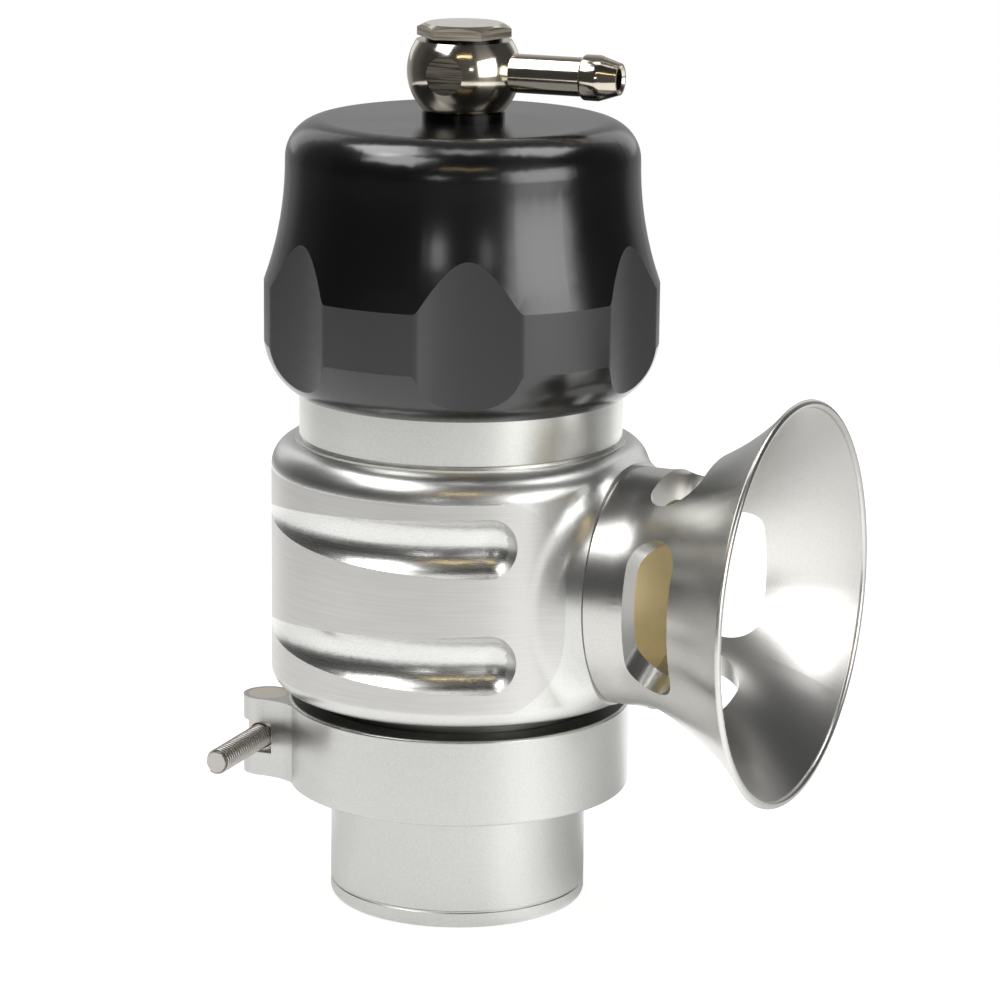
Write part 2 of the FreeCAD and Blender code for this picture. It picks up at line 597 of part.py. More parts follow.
def make_clamp_ring():
    """One-piece split ring with a V channel and two lugs; its own +X points through the split."""
    body = new_body("clamp_ring")
    half = dim.clamp_height / 2
    edge = dim.clamp_edge_round
    core = throat_radius
    outline = new_sketch(body, "clamp_outline", "XZ_Plane")
    draw_outline(outline, [
        (core, -half),
        (clamp_radius - edge, -half),
        (clamp_radius, edge - half, edge),
        (clamp_radius, half - edge),
        (clamp_radius - edge, half, edge),
        (core, half),
    ])
    spin(body, "Revolution", "clamp_blank", outline)

    # Lugs: each runs from the split to a round end about its barrel, and back to the ring in a hollow
    lug_outer = dim.lug_spread + lug_end_radius
    lug_inner = dim.lug_spread - lug_end_radius
    web_to_lug = dim.lug_web_bend + lug_end_radius
    web_to_ring = dim.lug_web_bend + clamp_radius - edge
    lug_square = lug_reach * lug_reach + dim.lug_spread * dim.lug_spread
    along = (lug_square + web_to_ring * web_to_ring - web_to_lug * web_to_lug) / (lug_square * 2)
    across = root(web_to_ring * web_to_ring / lug_square - along * along)
    web_x = along * lug_reach - across * dim.lug_spread
    web_y = along * dim.lug_spread + across * lug_reach
    lug_turn_x = lug_reach + (web_x - lug_reach) * lug_end_radius / web_to_lug
    lug_turn_y = dim.lug_spread + (web_y - dim.lug_spread) * lug_end_radius / web_to_lug
    ring_share = (clamp_radius - edge) / web_to_ring
    web_end_x = web_x * ring_share
    web_end_y = web_y * ring_share
    for name, side in (("nut", 1), ("head", -1)):
        lug = new_sketch(body, name + "_lug_outline", "XY_Plane")
        far = lug_reach
        bend = lug_end_radius * side
        draw_outline(lug, [(core, lug_inner * side), (far, lug_inner * side),
                           (far + lug_end_radius, dim.lug_spread * side, bend),
                           (lug_turn_x, lug_turn_y * side, bend),
                           (web_end_x, web_end_y * side, -dim.lug_web_bend * side),
                           (core, web_end_y * side)])
        push(body, "Pad", name + "_lug", lug, dim.lug_height, both_sides=True)

    # V channel that draws the two flanges together
    cone_slope = dim.flange_cone_rise / dim.flange_cone_run
    lip = flange_neck_radius + dim.clamp_lip_gap
    cone_top = dim.flange_rim_height + dim.flange_cone_rise
    cone_at_lip = cone_top - dim.clamp_lip_gap * cone_slope + dim.clamp_fit
    cone_at_floor = dim.flange_rim_height - dim.clamp_rim_gap * cone_slope + dim.clamp_fit
    well = throat_radius * 0.9
    beyond = half * 1.2
    channel = new_sketch(body, "channel_outline", "XZ_Plane")
    draw_outline(channel, [
        (well, -beyond),
        (lip, -beyond),
        (lip, -cone_at_lip),
        (clamp_floor_radius, -cone_at_floor),
        (clamp_floor_radius, cone_at_floor),
        (lip, cone_at_lip),
        (lip, beyond),
        (well, beyond),
    ])
    spin(body, "Groove", "channel", channel)

    # Split, screw slot, room for the screw's head, and barrel holes
    far = lug_reach + lug_end_radius * 1.5
    split = new_sketch(body, "split_outline", "XY_Plane")
    draw_outline(split, [(throat_radius, -dim.split_width / 2), (far, -dim.split_width / 2),
                         (far, dim.split_width / 2), (throat_radius, dim.split_width / 2)])
    push(body, "Pocket", "split", split, dim.clamp_height * 1.5, both_sides=True)
    screw_slot = new_sketch(body, "screw_slot_outline", "XZ_Plane")
    draw_outline(screw_slot, [(slot_root, -dim.screw_slot_height / 2), (far, -dim.screw_slot_height / 2),
                              (far, dim.screw_slot_height / 2), (slot_root, dim.screw_slot_height / 2)])
    push(body, "Pocket", "screw_slot", screw_slot, lug_outer * 3, both_sides=True)
    head_root = lug_reach - head_slot_height / 2
    head_slot = new_sketch(body, "head_slot_outline", "XZ_Plane")
    head_slot.AttachmentOffset = Placement(Vector(0, 0, dim.lug_spread.value), Rotation())
    head_slot.setExpression("AttachmentOffset.Base.z", dim.lug_spread.text)
    draw_outline(head_slot, [(head_root, -head_slot_height / 2), (far, -head_slot_height / 2),
                             (far, head_slot_height / 2), (head_root, head_slot_height / 2)])
    push(body, "Pocket", "head_slot", head_slot, lug_outer, reverse=True)
    holes = new_sketch(body, "barrel_hole_outline", "XY_Plane")
    draw_circle(holes, lug_reach, dim.lug_spread, dim.barrel_radius + dim.barrel_fit)
    draw_circle(holes, lug_reach, -dim.lug_spread, dim.barrel_radius + dim.barrel_fit)
    push(body, "Pocket", "barrel_holes", holes, dim.clamp_height * 1.5, both_sides=True)
    place(body, joint_height, dim.lug_azimuth)


def make_clamp_barrel(label, side, hole_radius, flat):
    """A barrel that pivots in a lug, with a cross hole for the screw."""
    body = new_body(label)
    outline = new_sketch(body, label + "_outline", "XY_Plane")
    draw_circle(outline, lug_reach, dim.lug_spread * side, dim.barrel_radius)
    push(body, "Pad", label + "_pad", outline, dim.lug_height, both_sides=True)
    hole = new_sketch(body, label + "_hole", "XZ_Plane")
    draw_circle(hole, lug_reach, ZERO, hole_radius)
    push(body, "Pocket", label + "_cross_hole", hole, dim.lug_spread * 4, both_sides=True)
    if flat:
        seat = new_sketch(body, label + "_seat", "XY_Plane")
        near = -dim.lug_spread - dim.screw_seat
        far = near - dim.barrel_radius
        draw_outline(seat, [(lug_reach - dim.barrel_radius, near),
                            (lug_reach + dim.barrel_radius, near),
                            (lug_reach + dim.barrel_radius, far),
                            (lug_reach - dim.barrel_radius, far)])
        push(body, "Pocket", label + "_flat", seat, head_slot_height, both_sides=True)
    place(body, joint_height, dim.lug_azimuth)


def make_clamp_screw():
    """Socket head screw across the split: drawn along its own Z, then laid along the barrels."""
    body = new_body("clamp_screw")
    shank = dim.screw_radius - dim.screw_fit
    head_bottom = -dim.lug_spread - dim.screw_seat
    head_top = head_bottom - dim.screw_head_height
    outline = new_sketch(body, "screw_outline", "XY_Plane")
    axis_x = lug_reach
    draw_outline(outline, [
        (ZERO, head_top),
        (dim.screw_head_radius - dim.screw_head_edge, head_top),
        (dim.screw_head_radius, head_top + dim.screw_head_edge),
        (dim.screw_head_radius, head_bottom),
        (shank, head_bottom),
        (shank, screw_end - dim.screw_tip_chamfer),
        (shank - dim.screw_tip_chamfer, screw_end),
        (ZERO, screw_end),
    ])
    spin(body, "Revolution", "screw_turned", outline)
    socket = new_sketch(body, "socket_outline", "XZ_Plane")
    draw_hexagon(socket, dim.screw_socket_width)
    socket.AttachmentOffset = Placement(Vector(0, 0, -head_top.value), Rotation())
    socket.setExpression("AttachmentOffset.Base.z", (-head_top).text)
    push(body, "Pocket", "socket", socket, dim.screw_socket_depth)
    body.Placement = Placement(Vector(), Rotation(Vector(0, 0, 1), dim.lug_azimuth.value))
    body.setExpression("Placement.Rotation.Angle", dim.lug_azimuth.text)
    body.Placement.Base.z = joint_height.value
    body.setExpression("Placement.Base.z", joint_height.text)
    body.setExpression("Placement.Base.x", "%s * cos(%s * 1 deg)" % (axis_x.text, dim.lug_azimuth.text))
    body.setExpression("Placement.Base.y", "%s * sin(%s * 1 deg)" % (axis_x.text, dim.lug_azimuth.text))


def draw_hexagon(sketch, across_flats):
    """A hexagon about the sketch's origin with a corner on its horizontal axis."""
    corner = across_flats / Size(3 ** 0.5, "sqrt(3)")
    half = across_flats / 2
    draw_outline(sketch, [(corner, ZERO), (corner / 2, half), (-corner / 2, half),
                          (-corner, ZERO), (-corner / 2, -half), (corner / 2, -half)])


def boss_root_edges(shape):
    """The edges where the outlet boss meets the turned body."""
    names = []
    for number, edge in enumerate(shape.Edges, start=1):
        spots = edge.discretize(7)
        on_boss = all(abs((spot.y ** 2 + spot.z ** 2) ** 0.5 - boss_radius.value) < 0.01 for spot in spots)
        inside = all(spot.x < body_radius.value + 0.01 for spot in spots)
        if on_boss and inside and not isinstance(edge.Curve, Part.Line):
            names.append("Edge%d" % number)
    return names


def make_valve_body():
    """Turned body with its own origin on the outlet's axis."""
    body = new_body("valve_body")
    level = outlet_height
    shoulder_side = shoulder_height - dim.shoulder_round
    ledge_radius = neck_radius + dim.neck_ledge_width
    ledge_foot = shoulder_side + hypotenuse_leg(dim.shoulder_round, dim.neck_ledge_width)
    ledge_top = shoulder_height + dim.neck_ledge_height
    relief_top = ledge_top + dim.neck_relief_height
    outline = new_sketch(body, "body_outline", "XZ_Plane")
    draw_outline(outline, [
        (throat_radius, joint_height - level),
        (flange_radius, joint_height - level),
        (flange_radius, upper_rim_top - level),
        (flange_neck_radius, upper_cone_top - level),
        (flange_neck_radius, body_bottom - level),
        (body_radius - dim.body_bottom_round, body_bottom - level),
        (body_radius, body_bottom + dim.body_bottom_round - level, dim.body_bottom_round),
        (body_radius, shoulder_side - level),
        (ledge_radius, ledge_foot - level, dim.shoulder_round),
        (ledge_radius, ledge_top - level),
        (neck_radius - dim.neck_relief_depth, ledge_top - level),
        (neck_radius - dim.neck_relief_depth, relief_top - dim.neck_relief_depth - level),
        (neck_radius, relief_top - level),
        (neck_radius, thread_start - level),
        (thread_radius, thread_start - level),
        (thread_radius, neck_top - dim.thread_chamfer - level),
        (thread_radius - dim.thread_chamfer, neck_top - level),
        (bore_radius, neck_top - level),
        (bore_radius, seat_height - level),
        (throat_radius, seat_height - level),
    ])
    spin(body, "Revolution", "body_turned", outline)

    # Outlet boss with a hollow blend into the body, cut back to the spigot that carries the trumpet
    boss_root = bore_radius + (body_radius - bore_radius) / 5
    boss_blank = boss_reach + dim.blend_width
    boss = new_sketch(body, "boss_outline", "XZ_Plane")
    draw_outline(boss, [(boss_root, ZERO), (boss_blank, ZERO),
                        (boss_blank, boss_radius), (boss_root, boss_radius)])
    boss_turned = spin(body, "Revolution", "boss", boss, "H_Axis")
    blend = body.newObject("PartDesign::Fillet", "boss_blend")
    blend.Base = (boss_turned, boss_root_edges(boss_turned.Shape))
    blend.Radius = dim.blend_width.value
    blend.setExpression("Radius", dim.blend_width.text)
    doc.recompute()
    spigot = new_sketch(body, "spigot_outline", "XZ_Plane")
    draw_outline(spigot, [
        (boss_reach, boss_radius * 1.2),
        (boss_reach, spigot_radius),
        (spigot_groove_start, spigot_radius),
        (spigot_groove_start, spigot_groove_floor),
        (spigot_groove_end, spigot_groove_floor),
        (spigot_groove_end, spigot_radius),
        (spigot_end, spigot_radius),
        (spigot_end, ZERO),
        (boss_blank * 1.1, ZERO),
        (boss_blank * 1.1, boss_radius * 1.2),
    ])
    spin(body, "Groove", "spigot", spigot, "H_Axis")
    port = new_sketch(body, "port_outline", "XZ_Plane")
    draw_outline(port, [(ZERO, ZERO), (spigot_end * 1.1, ZERO),
                        (spigot_end * 1.1, dim.outlet_bore), (ZERO, dim.outlet_bore)])
    spin(body, "Groove", "port", port, "H_Axis")

    # Finger grooves, sunk deepest at their ball ends and running out round the back
    path_radius = body_radius - dim.grip_groove_depth + dim.grip_groove_ball
    sweep = (dim.grip_groove_angle + 90) * 2
    section = new_sketch(body, "grip_groove_section", "XZ_Plane")
    section.AttachmentOffset = Placement(Vector(-dim.grip_groove_offset.value, 0, 0), Rotation())
    section.setExpression("AttachmentOffset.Base.x", (-dim.grip_groove_offset).text)
    for height in (grip_groove_lower, grip_groove_upper):
        draw_circle(section, -path_radius, height - level, dim.grip_groove_ball)
    spin(body, "Groove", "grip_grooves", section, "V_Axis", sweep)
    ends = []
    angle = "%s * 1 deg" % dim.grip_groove_angle.text
    for name, height in (("lower", grip_groove_lower), ("upper", grip_groove_upper)):
        ball = body.newObject("PartDesign::SubtractiveSphere", name + "_groove_end")
        plane = [item for item in body.Origin.OriginFeatures if item.Role == "XY_Plane"][0]
        ball.AttachmentSupport = [(plane, "")]
        ball.MapMode = "FlatFace"
        ball.Radius = dim.grip_groove_ball.value
        ball.setExpression("Radius", dim.grip_groove_ball.text)
        ball.setExpression("AttachmentOffset.Base.x",
                           "%s * sin(%s) - %s" % (path_radius.text, angle, dim.grip_groove_offset.text))
        ball.setExpression("AttachmentOffset.Base.y", "0 - %s * cos(%s)" % (path_radius.text, angle))
        ball.setExpression("AttachmentOffset.Base.z", (height - level).text)
        doc.recompute()
        ends.append(ball)
    mirror_across(body, "far_groove_ends", ends, "XZ_Plane")
    place(body, level)


def make_outlet_o_ring():
    body = o_ring("outlet_o_ring", spigot_groove_floor + dim.seal_fit, spigot_radius,
                  spigot_groove_start, spigot_groove_end)
    place(body, outlet_height, lay_down=True)


def make_trumpet():
    """Drawn along its own Z and laid along the outlet: each point is (radius, reach)."""
    body = new_body("trumpet")
    socket_radius = spigot_radius + dim.trumpet_fit
    socket_end = spigot_end + dim.trumpet_fit
    lip_round = dim.lip_thickness / 2
    lip_base = mouth_reach - lip_round
    mouth_inner = mouth_radius - dim.lip_thickness
    outline = new_sketch(body, "trumpet_outline", "XZ_Plane")
    draw_outline(outline, [
        (socket_radius, boss_reach),
        (boss_radius - dim.trumpet_edge, boss_reach),
        (boss_radius, boss_reach + dim.trumpet_edge),
        (boss_radius, flare_start),
        (boss_radius + dim.flare_root_rise, flare_start + dim.flare_root_length,
         -dim.flare_root_bend),
        (mouth_radius, lip_base, -dim.flare_bend),
        (mouth_radius - lip_round, mouth_reach, lip_round),
        (mouth_inner, lip_base, lip_round),
        (dim.outlet_bore + dim.inner_root_rise, inner_flare_start + dim.inner_root_length,
         dim.inner_flare_bend),
        (dim.outlet_bore, inner_flare_start, dim.inner_root_bend),
        (dim.outlet_bore, socket_end),
        (socket_radius, socket_end),
    ])
    spin(body, "Revolution", "trumpet_turned", outline)

    # Four windows with round ends, milled through the neck
    half_width = dim.window_width / 2
    reach = boss_radius * 1.5
    strip = new_sketch(body, "window_outline", "XZ_Plane")
    draw_outline(strip, [(dim.outlet_bore / 2, window_centre - half_width),
                         (reach, window_centre - half_width),
                         (reach, window_centre + half_width),
                         (dim.outlet_bore / 2, window_centre + half_width)])
    cuts = [spin(body, "Groove", "window", strip, "V_Axis", dim.window_angle)]
    for name, side in (("low", -1), ("high", 1)):
        turn = dim.window_angle * (0.5 * side) + 90
        end = new_sketch(body, "window_%s_outline" % name, "XZ_Plane", turn)
        draw_circle(end, ZERO, window_centre, half_width)
        cuts.append(push(body, "Pocket", "window_%s_end" % name, end, reach))
    repeat_round(body, "windows", cuts, as_size(4))
    place(body, outlet_height, lay_down=True)


def make_piston():
    """Cup-shaped piston with its seals and guide bands."""
    dish_top = piston_bottom + dim.piston_dish_depth
    turned("piston", [
        (ZERO, dish_top),
        (piston_dish_radius - dim.piston_dish_depth, dish_top),
        (piston_dish_radius, piston_bottom),
        (piston_seal_inner, piston_bottom),
        (piston_seal_inner, piston_seal_top),
        (piston_seal_outer, piston_seal_top),
        (piston_seal_outer, piston_bottom),
        (piston_radius, piston_bottom),
        (piston_radius, lower_band_bottom),
        (band_floor, lower_band_bottom),
        (band_floor, lower_band_top),
        (piston_radius, lower_band_top),
        (piston_radius, lip_seal_bottom),
        (lip_seal_floor, lip_seal_bottom),
        (lip_seal_floor, lip_seal_top),
        (piston_radius, lip_seal_top),
        (piston_radius, upper_band_bottom),
        (band_floor, upper_band_bottom),
        (band_floor, upper_band_top),
        (piston_radius, upper_band_top),
        (piston_radius, piston_top),
        (piston_bore, piston_top),
        (piston_bore, piston_floor_top),
        (ZERO, piston_floor_top),
    ])
    ring("piston_face_seal", piston_seal_inner, piston_seal_outer,
         seat_height, piston_seal_top)
    ring("piston_lower_guide_band", band_floor, band_outer, lower_band_bottom, lower_band_top)
    ring("piston_upper_guide_band", band_floor, band_outer, upper_band_bottom, upper_band_top)
    lip_width = (band_outer - lip_seal_floor) / 3
    turned("piston_lip_seal", [
        (lip_seal_floor, lip_seal_bottom),
        (band_outer, lip_seal_bottom),
        (band_outer, lip_seal_top),
        (band_outer - lip_width, lip_seal_top),
        ((band_outer + lip_seal_floor) / 2, lip_seal_bottom + dim.lip_seal_height / 2),
        (lip_seal_floor + lip_width, lip_seal_top),
        (lip_seal_floor, lip_seal_top),
    ])


def make_spring():
    """Compression spring with ground ends, from the piston's floor to the thrust washer."""
    body = new_body("spring")
    start = piston_floor_top - dim.spring_wire_radius / 2
    height = washer_bottom - piston_floor_top + dim.spring_wire_radius
    wire = new_sketch(body, "spring_wire", "XZ_Plane")
    draw_circle(wire, dim.spring_radius, start, dim.spring_wire_radius)
    helix = body.newObject("PartDesign::AdditiveHelix", "spring_coils")
    helix.Profile = wire
    helix.ReferenceAxis = (wire, ["V_Axis"])
    helix.Mode = "pitch-height-angle"
    helix.Pitch = dim.spring_pitch.value
    helix.setExpression("Pitch", dim.spring_pitch.text)
    helix.Height = height.value
    helix.setExpression("Height", height.text)
    doc.recompute()
    outer = dim.spring_radius + dim.spring_wire_radius * 2
    waste = dim.spring_wire_radius * 4
    for name, near, far in (("lower", piston_floor_top, piston_floor_top - waste),
                            ("upper", washer_bottom, washer_bottom + waste)):
        end = new_sketch(body, "spring_%s_end" % name, "XZ_Plane")
        draw_outline(end, [(ZERO, near), (outer, near), (outer, far), (ZERO, far)])
        spin(body, "Groove", "spring_%s_ground" % name, end)
    ring("spring_thrust_washer", washer_inner, washer_outer,
         washer_bottom, cap_ceiling)


def make_cap():
    """Threaded spring cap with a hollow side, a bulged grip band and scalloped flutes."""
    body = new_body("cap")
    fit = dim.cap_fit
    outline = new_sketch(body, "cap_outline", "XZ_Plane")
    draw_outline(outline, [
        (cap_skirt_radius, cap_bottom),
        (cap_foot_radius, cap_bottom),
        (cap_band_radius, cap_band_bottom, dim.cap_foot_bend),
        (cap_band_radius, cap_band_top, dim.cap_band_bend),
        (cap_side_radius, cap_side_top, -dim.cap_side_bend),
        (cap_side_radius - dim.cap_top_round, cap_top, dim.cap_top_round),
        (dim.bolt_radius + dim.seal_fit, cap_top),
        (dim.bolt_radius + dim.seal_fit, cap_boss_bottom),
        (cap_boss_radius, cap_boss_bottom),
        (cap_boss_radius, cap_ceiling),
        (cap_ceiling_radius, cap_ceiling),
        (cap_chamber_radius, cap_chamber_side),
        (cap_chamber_radius, cap_step),
        (thread_radius + fit, cap_step),
        (thread_radius + fit, cap_skirt_top),
        (cap_skirt_radius, cap_skirt_top),
        (cap_skirt_radius, cap_seal_top),
        (cap_seal_floor, cap_seal_top),
        (cap_seal_floor, cap_seal_bottom),
        (cap_skirt_radius, cap_seal_bottom),
    ])
    spin(body, "Revolution", "cap_turned", outline)

    # One sector of the milled band: half a land, a rounded edge, the flute and the same again
    land_radius = cap_band_radius - dim.cap_band_trim
    flute_centre = flute_floor + dim.flute_radius
    edge_path = land_radius - dim.flute_edge_round
    edge_to_flute = dim.flute_radius + dim.flute_edge_round
    edge_x = (flute_centre * flute_centre + edge_path * edge_path - edge_to_flute * edge_to_flute
              ) / (flute_centre * 2)
    edge_y = hypotenuse_leg(edge_path, edge_x)
    land_end_x = edge_x * land_radius / edge_path
    land_end_y = edge_y * land_radius / edge_path
    flute_end_x = flute_centre + (edge_x - flute_centre) * dim.flute_radius / edge_to_flute
    flute_end_y = edge_y * dim.flute_radius / edge_to_flute
    half_sector = as_size(184) / dim.flute_count
    land_x = land_radius * cosine(half_sector)
    land_y = land_radius * sine(half_sector)
    flute = new_sketch(body, "flute_outline", "XY_Plane")
    draw_outline(flute, [
        (land_x, -land_y),
        (land_end_x, -land_end_y, land_radius),
        (flute_end_x, -flute_end_y, dim.flute_edge_round),
        (flute_end_x, flute_end_y, -dim.flute_radius),
        (land_end_x, land_end_y, dim.flute_edge_round),
        (land_x, land_y, land_radius),
        (land_x * 1.4, land_y * 1.4),
        (land_x * 1.4, -land_y * 1.4),
    ])
    cut = push(body, "Pocket", "flute", flute, cap_top * 2, both_sides=True)
    repeat_round(body, "flutes", [cut], dim.flute_count)
    place(body, azimuth=dim.flute_azimuth)
    o_ring("cap_o_ring", neck_radius + dim.cap_seal_run, cap_seal_floor - dim.seal_fit,
           cap_seal_bottom, cap_seal_top)


def make_banjo():
    """Ball banjo and hose barb, with its own origin at the ball's centre and the barb along +X."""
    body = new_body("banjo_fitting")
    ball = body.newObject("PartDesign::AdditiveSphere", "ball")
    ball.Radius = dim.banjo_radius.value
    ball.setExpression("Radius", dim.banjo_radius.text)
    doc.recompute()
    beyond = dim.banjo_radius * 1.2
    ends = new_sketch(body, "ball_end_outlines", "YZ_Plane")
    for near, far in ((-dim.banjo_drop, -beyond), (dim.banjo_rise, beyond)):
        draw_outline(ends, [(ZERO, near), (beyond, near), (beyond, far), (ZERO, far)])
    spin(body, "Groove", "ball_ends", ends)
    barb = new_sketch(body, "barb_outline", "XZ_Plane")
    draw_outline(barb, [
        (ZERO, ZERO),
        (barb_tip, ZERO),
        (barb_tip, barb_tip_radius),
        (barb_land, barb_radius),
        (dim.barb_tube_reach + dim.barb_ridge_height, barb_radius),
        (dim.barb_tube_reach, dim.barb_tube_radius, dim.barb_ridge_height),
        (ZERO, dim.barb_tube_radius),
    ])
    spin(body, "Revolution", "barb", barb, "H_Axis")
    passage = new_sketch(body, "passage_outline", "XZ_Plane")
    draw_outline(passage, [
        (ZERO, ZERO),
        (barb_tip + dim.barb_bore, ZERO),
        (barb_tip + dim.barb_bore, dim.barb_bore * 2 + dim.barb_countersink),
        (barb_tip - dim.barb_countersink, dim.barb_bore),
        (ZERO, dim.barb_bore),
    ])
    spin(body, "Groove", "passage", passage, "H_Axis")
    half_gallery = dim.banjo_gallery_height / 2
    bore = new_sketch(body, "bore_outline", "YZ_Plane")
    draw_outline(bore, [
        (ZERO, -dim.banjo_radius),
        (banjo_bore, -dim.banjo_radius),
        (banjo_bore, -half_gallery),
        (gallery_radius, -half_gallery),
        (gallery_radius, half_gallery),
        (banjo_bore, half_gallery),
        (banjo_bore, dim.banjo_radius),
        (ZERO, dim.banjo_radius),
    ])
    spin(body, "Groove", "bore", bore)
    flat_reach = hypotenuse_leg(dim.banjo_radius, dim.banjo_flat_radius)
    flat = new_sketch(body, "flat_outline", "XZ_Plane")
    flat.AttachmentOffset = Placement(Vector(0, 0, flat_reach.value), Rotation())
    flat.setExpression("AttachmentOffset.Base.z", flat_reach.text)
    draw_circle(flat, ZERO, ZERO, dim.banjo_radius)
    push(body, "Pocket", "flat", flat, dim.banjo_radius, reverse=True)
    place(body, banjo_height, dim.banjo_azimuth)


def make_banjo_bolt():
    """Hollow bolt through the banjo, with cross holes into its ring passage."""
    body = new_body("banjo_bolt")
    head_top = bolt_head_bottom + dim.bolt_head_height
    head = new_sketch(body, "bolt_hexagon", "XY_Plane")
    head.AttachmentOffset = Placement(Vector(0, 0, bolt_head_bottom.value), Rotation())
    head.setExpression("AttachmentOffset.Base.z", bolt_head_bottom.text)
    draw_hexagon(head, dim.bolt_hex_width)
    push(body, "Pad", "bolt_head_pad", head, dim.bolt_head_height)
    shank = new_sketch(body, "shank_outline", "XZ_Plane")
    draw_outline(shank, [
        (ZERO, cap_boss_bottom),
        (dim.bolt_radius, cap_boss_bottom),
        (dim.bolt_radius, bolt_head_bottom),
        (ZERO, bolt_head_bottom),
    ])
    spin(body, "Revolution", "shank", shank)
    corner = dim.bolt_hex_width * 0.6
    bevel_start = dim.bolt_hex_width / 2 - dim.bolt_head_bevel
    bevel = new_sketch(body, "bevel_outline", "XZ_Plane")
    draw_outline(bevel, [
        (bevel_start, head_top),
        (corner, head_top - (corner - bevel_start) / 2),
        (corner, head_top),
    ])
    spin(body, "Groove", "bevel", bevel)
    passage = new_sketch(body, "bolt_passage_outline", "XZ_Plane")
    draw_outline(passage, [
        (ZERO, cap_boss_bottom - dim.bolt_passage),
        (dim.bolt_passage, cap_boss_bottom - dim.bolt_passage),
        (dim.bolt_passage, banjo_height + dim.bolt_port * 1.5),
        (ZERO, banjo_height + dim.bolt_port * 1.5 + dim.bolt_passage / 2),
    ])
    spin(body, "Groove", "bolt_passage", passage)
    port = new_sketch(body, "bolt_port_outline", "XZ_Plane")
    draw_circle(port, ZERO, banjo_height, dim.bolt_port)
    push(body, "Pocket", "bolt_ports", port, dim.bolt_radius * 3, both_sides=True)
    place(body, azimuth=dim.bolt_hex_azimuth)
    ring("banjo_lower_washer", banjo_bore, lower_washer_radius, cap_top, banjo_bottom)
    ring("banjo_upper_washer", banjo_bore, upper_washer_radius,
         banjo_top, bolt_head_bottom)


make_weld_flange()
make_clamp_ring()
make_clamp_barrel("clamp_barrel_nut", 1, dim.screw_radius, flat=False)
make_clamp_barrel("clamp_barrel_washer", -1, dim.screw_radius + dim.screw_washer_gap, flat=True)
make_clamp_screw()
make_valve_body()
make_outlet_o_ring()
make_trumpet()
make_piston()
make_spring()
make_cap()
make_banjo()
make_banjo_bolt()
doc.recompute()

# Check every object and write each sub-part
faults = [item.Name for item in doc.Objects if "Invalid" in item.State or "Error" in item.State]
bodies = [item for item in doc.Objects if item.TypeId == "PartDesign::Body"]
for body in bodies:
    if body.Shape.isNull() or not body.Shape.isValid() or len(body.Shape.Solids) != 1:
        faults.append("%s shape (%d solids)" % (body.Label, len(body.Shape.Solids)))
if faults:
    raise SystemExit("Not built: " + ", ".join(faults))
os.makedirs("parts", exist_ok=True)
for body in bodies:
    body.Shape.exportStep("parts/%s.step" % body.Label)
    print("%-26s %9.1f mm3" % (body.Label, body.Shape.Volume))
print(len(bodies), "pieces")
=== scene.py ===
import json
import math
import bmesh
import bpy
from mathutils import Matrix, Vector


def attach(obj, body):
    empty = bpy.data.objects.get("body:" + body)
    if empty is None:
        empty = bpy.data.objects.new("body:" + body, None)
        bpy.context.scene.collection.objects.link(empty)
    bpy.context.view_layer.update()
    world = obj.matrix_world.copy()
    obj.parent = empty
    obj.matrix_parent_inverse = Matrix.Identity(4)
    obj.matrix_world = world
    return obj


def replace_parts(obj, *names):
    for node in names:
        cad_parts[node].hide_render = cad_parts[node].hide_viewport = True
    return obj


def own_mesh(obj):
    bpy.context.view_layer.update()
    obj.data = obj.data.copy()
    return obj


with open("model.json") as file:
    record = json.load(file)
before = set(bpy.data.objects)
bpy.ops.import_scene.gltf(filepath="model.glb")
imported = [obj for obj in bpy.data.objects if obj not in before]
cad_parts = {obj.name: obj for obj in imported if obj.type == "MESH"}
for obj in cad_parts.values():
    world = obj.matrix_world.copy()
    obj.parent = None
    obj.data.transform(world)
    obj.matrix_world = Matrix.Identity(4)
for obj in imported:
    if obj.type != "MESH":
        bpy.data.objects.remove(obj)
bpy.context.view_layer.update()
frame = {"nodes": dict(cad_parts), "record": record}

mm = 0.001
nodes = frame["nodes"]
bodyOf = {node: body for body, members in frame["record"]["behaviour"]["bodies"].items() for node in members}


# Helpers for nodes

def hexColour(code):
    # sRGB hex to the linear colour that Blender works in
    parts = [int(code[i:i + 2], 16) / 255 for i in (0, 2, 4)]
    return [p / 12.92 if p <= 0.04045 else ((p + 0.055) / 1.055) ** 2.4 for p in parts] + [1]


def addNode(tree, kind, inputs=None, **settings):
    # adds one node, sets its properties, then fills or links its inputs
    node = tree.nodes.new(kind)
    for name, value in settings.items():
        setattr(node, name, value)
    for key, value in (inputs or {}).items():
        if isinstance(value, bpy.types.NodeSocket):
            tree.links.new(value, node.inputs[key])
        else:
            node.inputs[key].default_value = value
    return node


def newMaterial(name, settings, metallic):
    # a Principled material with its Object coordinates ready to use
    material = bpy.data.materials.new(name)
    material.use_nodes = True
    tree = material.node_tree
    shader = tree.nodes["Principled BSDF"]
    shader.inputs["Base Color"].default_value = hexColour(settings["colour"])
    shader.inputs["Metallic"].default_value = metallic
    shader.inputs["Roughness"].default_value = settings["roughness"]
    if "ior" in settings:
        shader.inputs["IOR"].default_value = settings["ior"]
    material.diffuse_color = hexColour(settings["colour"])
    coords = addNode(tree, "ShaderNodeTexCoord").outputs["Object"]
    return material, tree, shader, coords


def fineGrain(tree, coords, grainMm, detail=3.0):
    # noise whose grains are about grainMm across
    grain = addNode(tree, "ShaderNodeTexNoise", {"Vector": coords, "Scale": 1 / (grainMm * mm), "Detail": detail})
    return grain.outputs["Fac"]


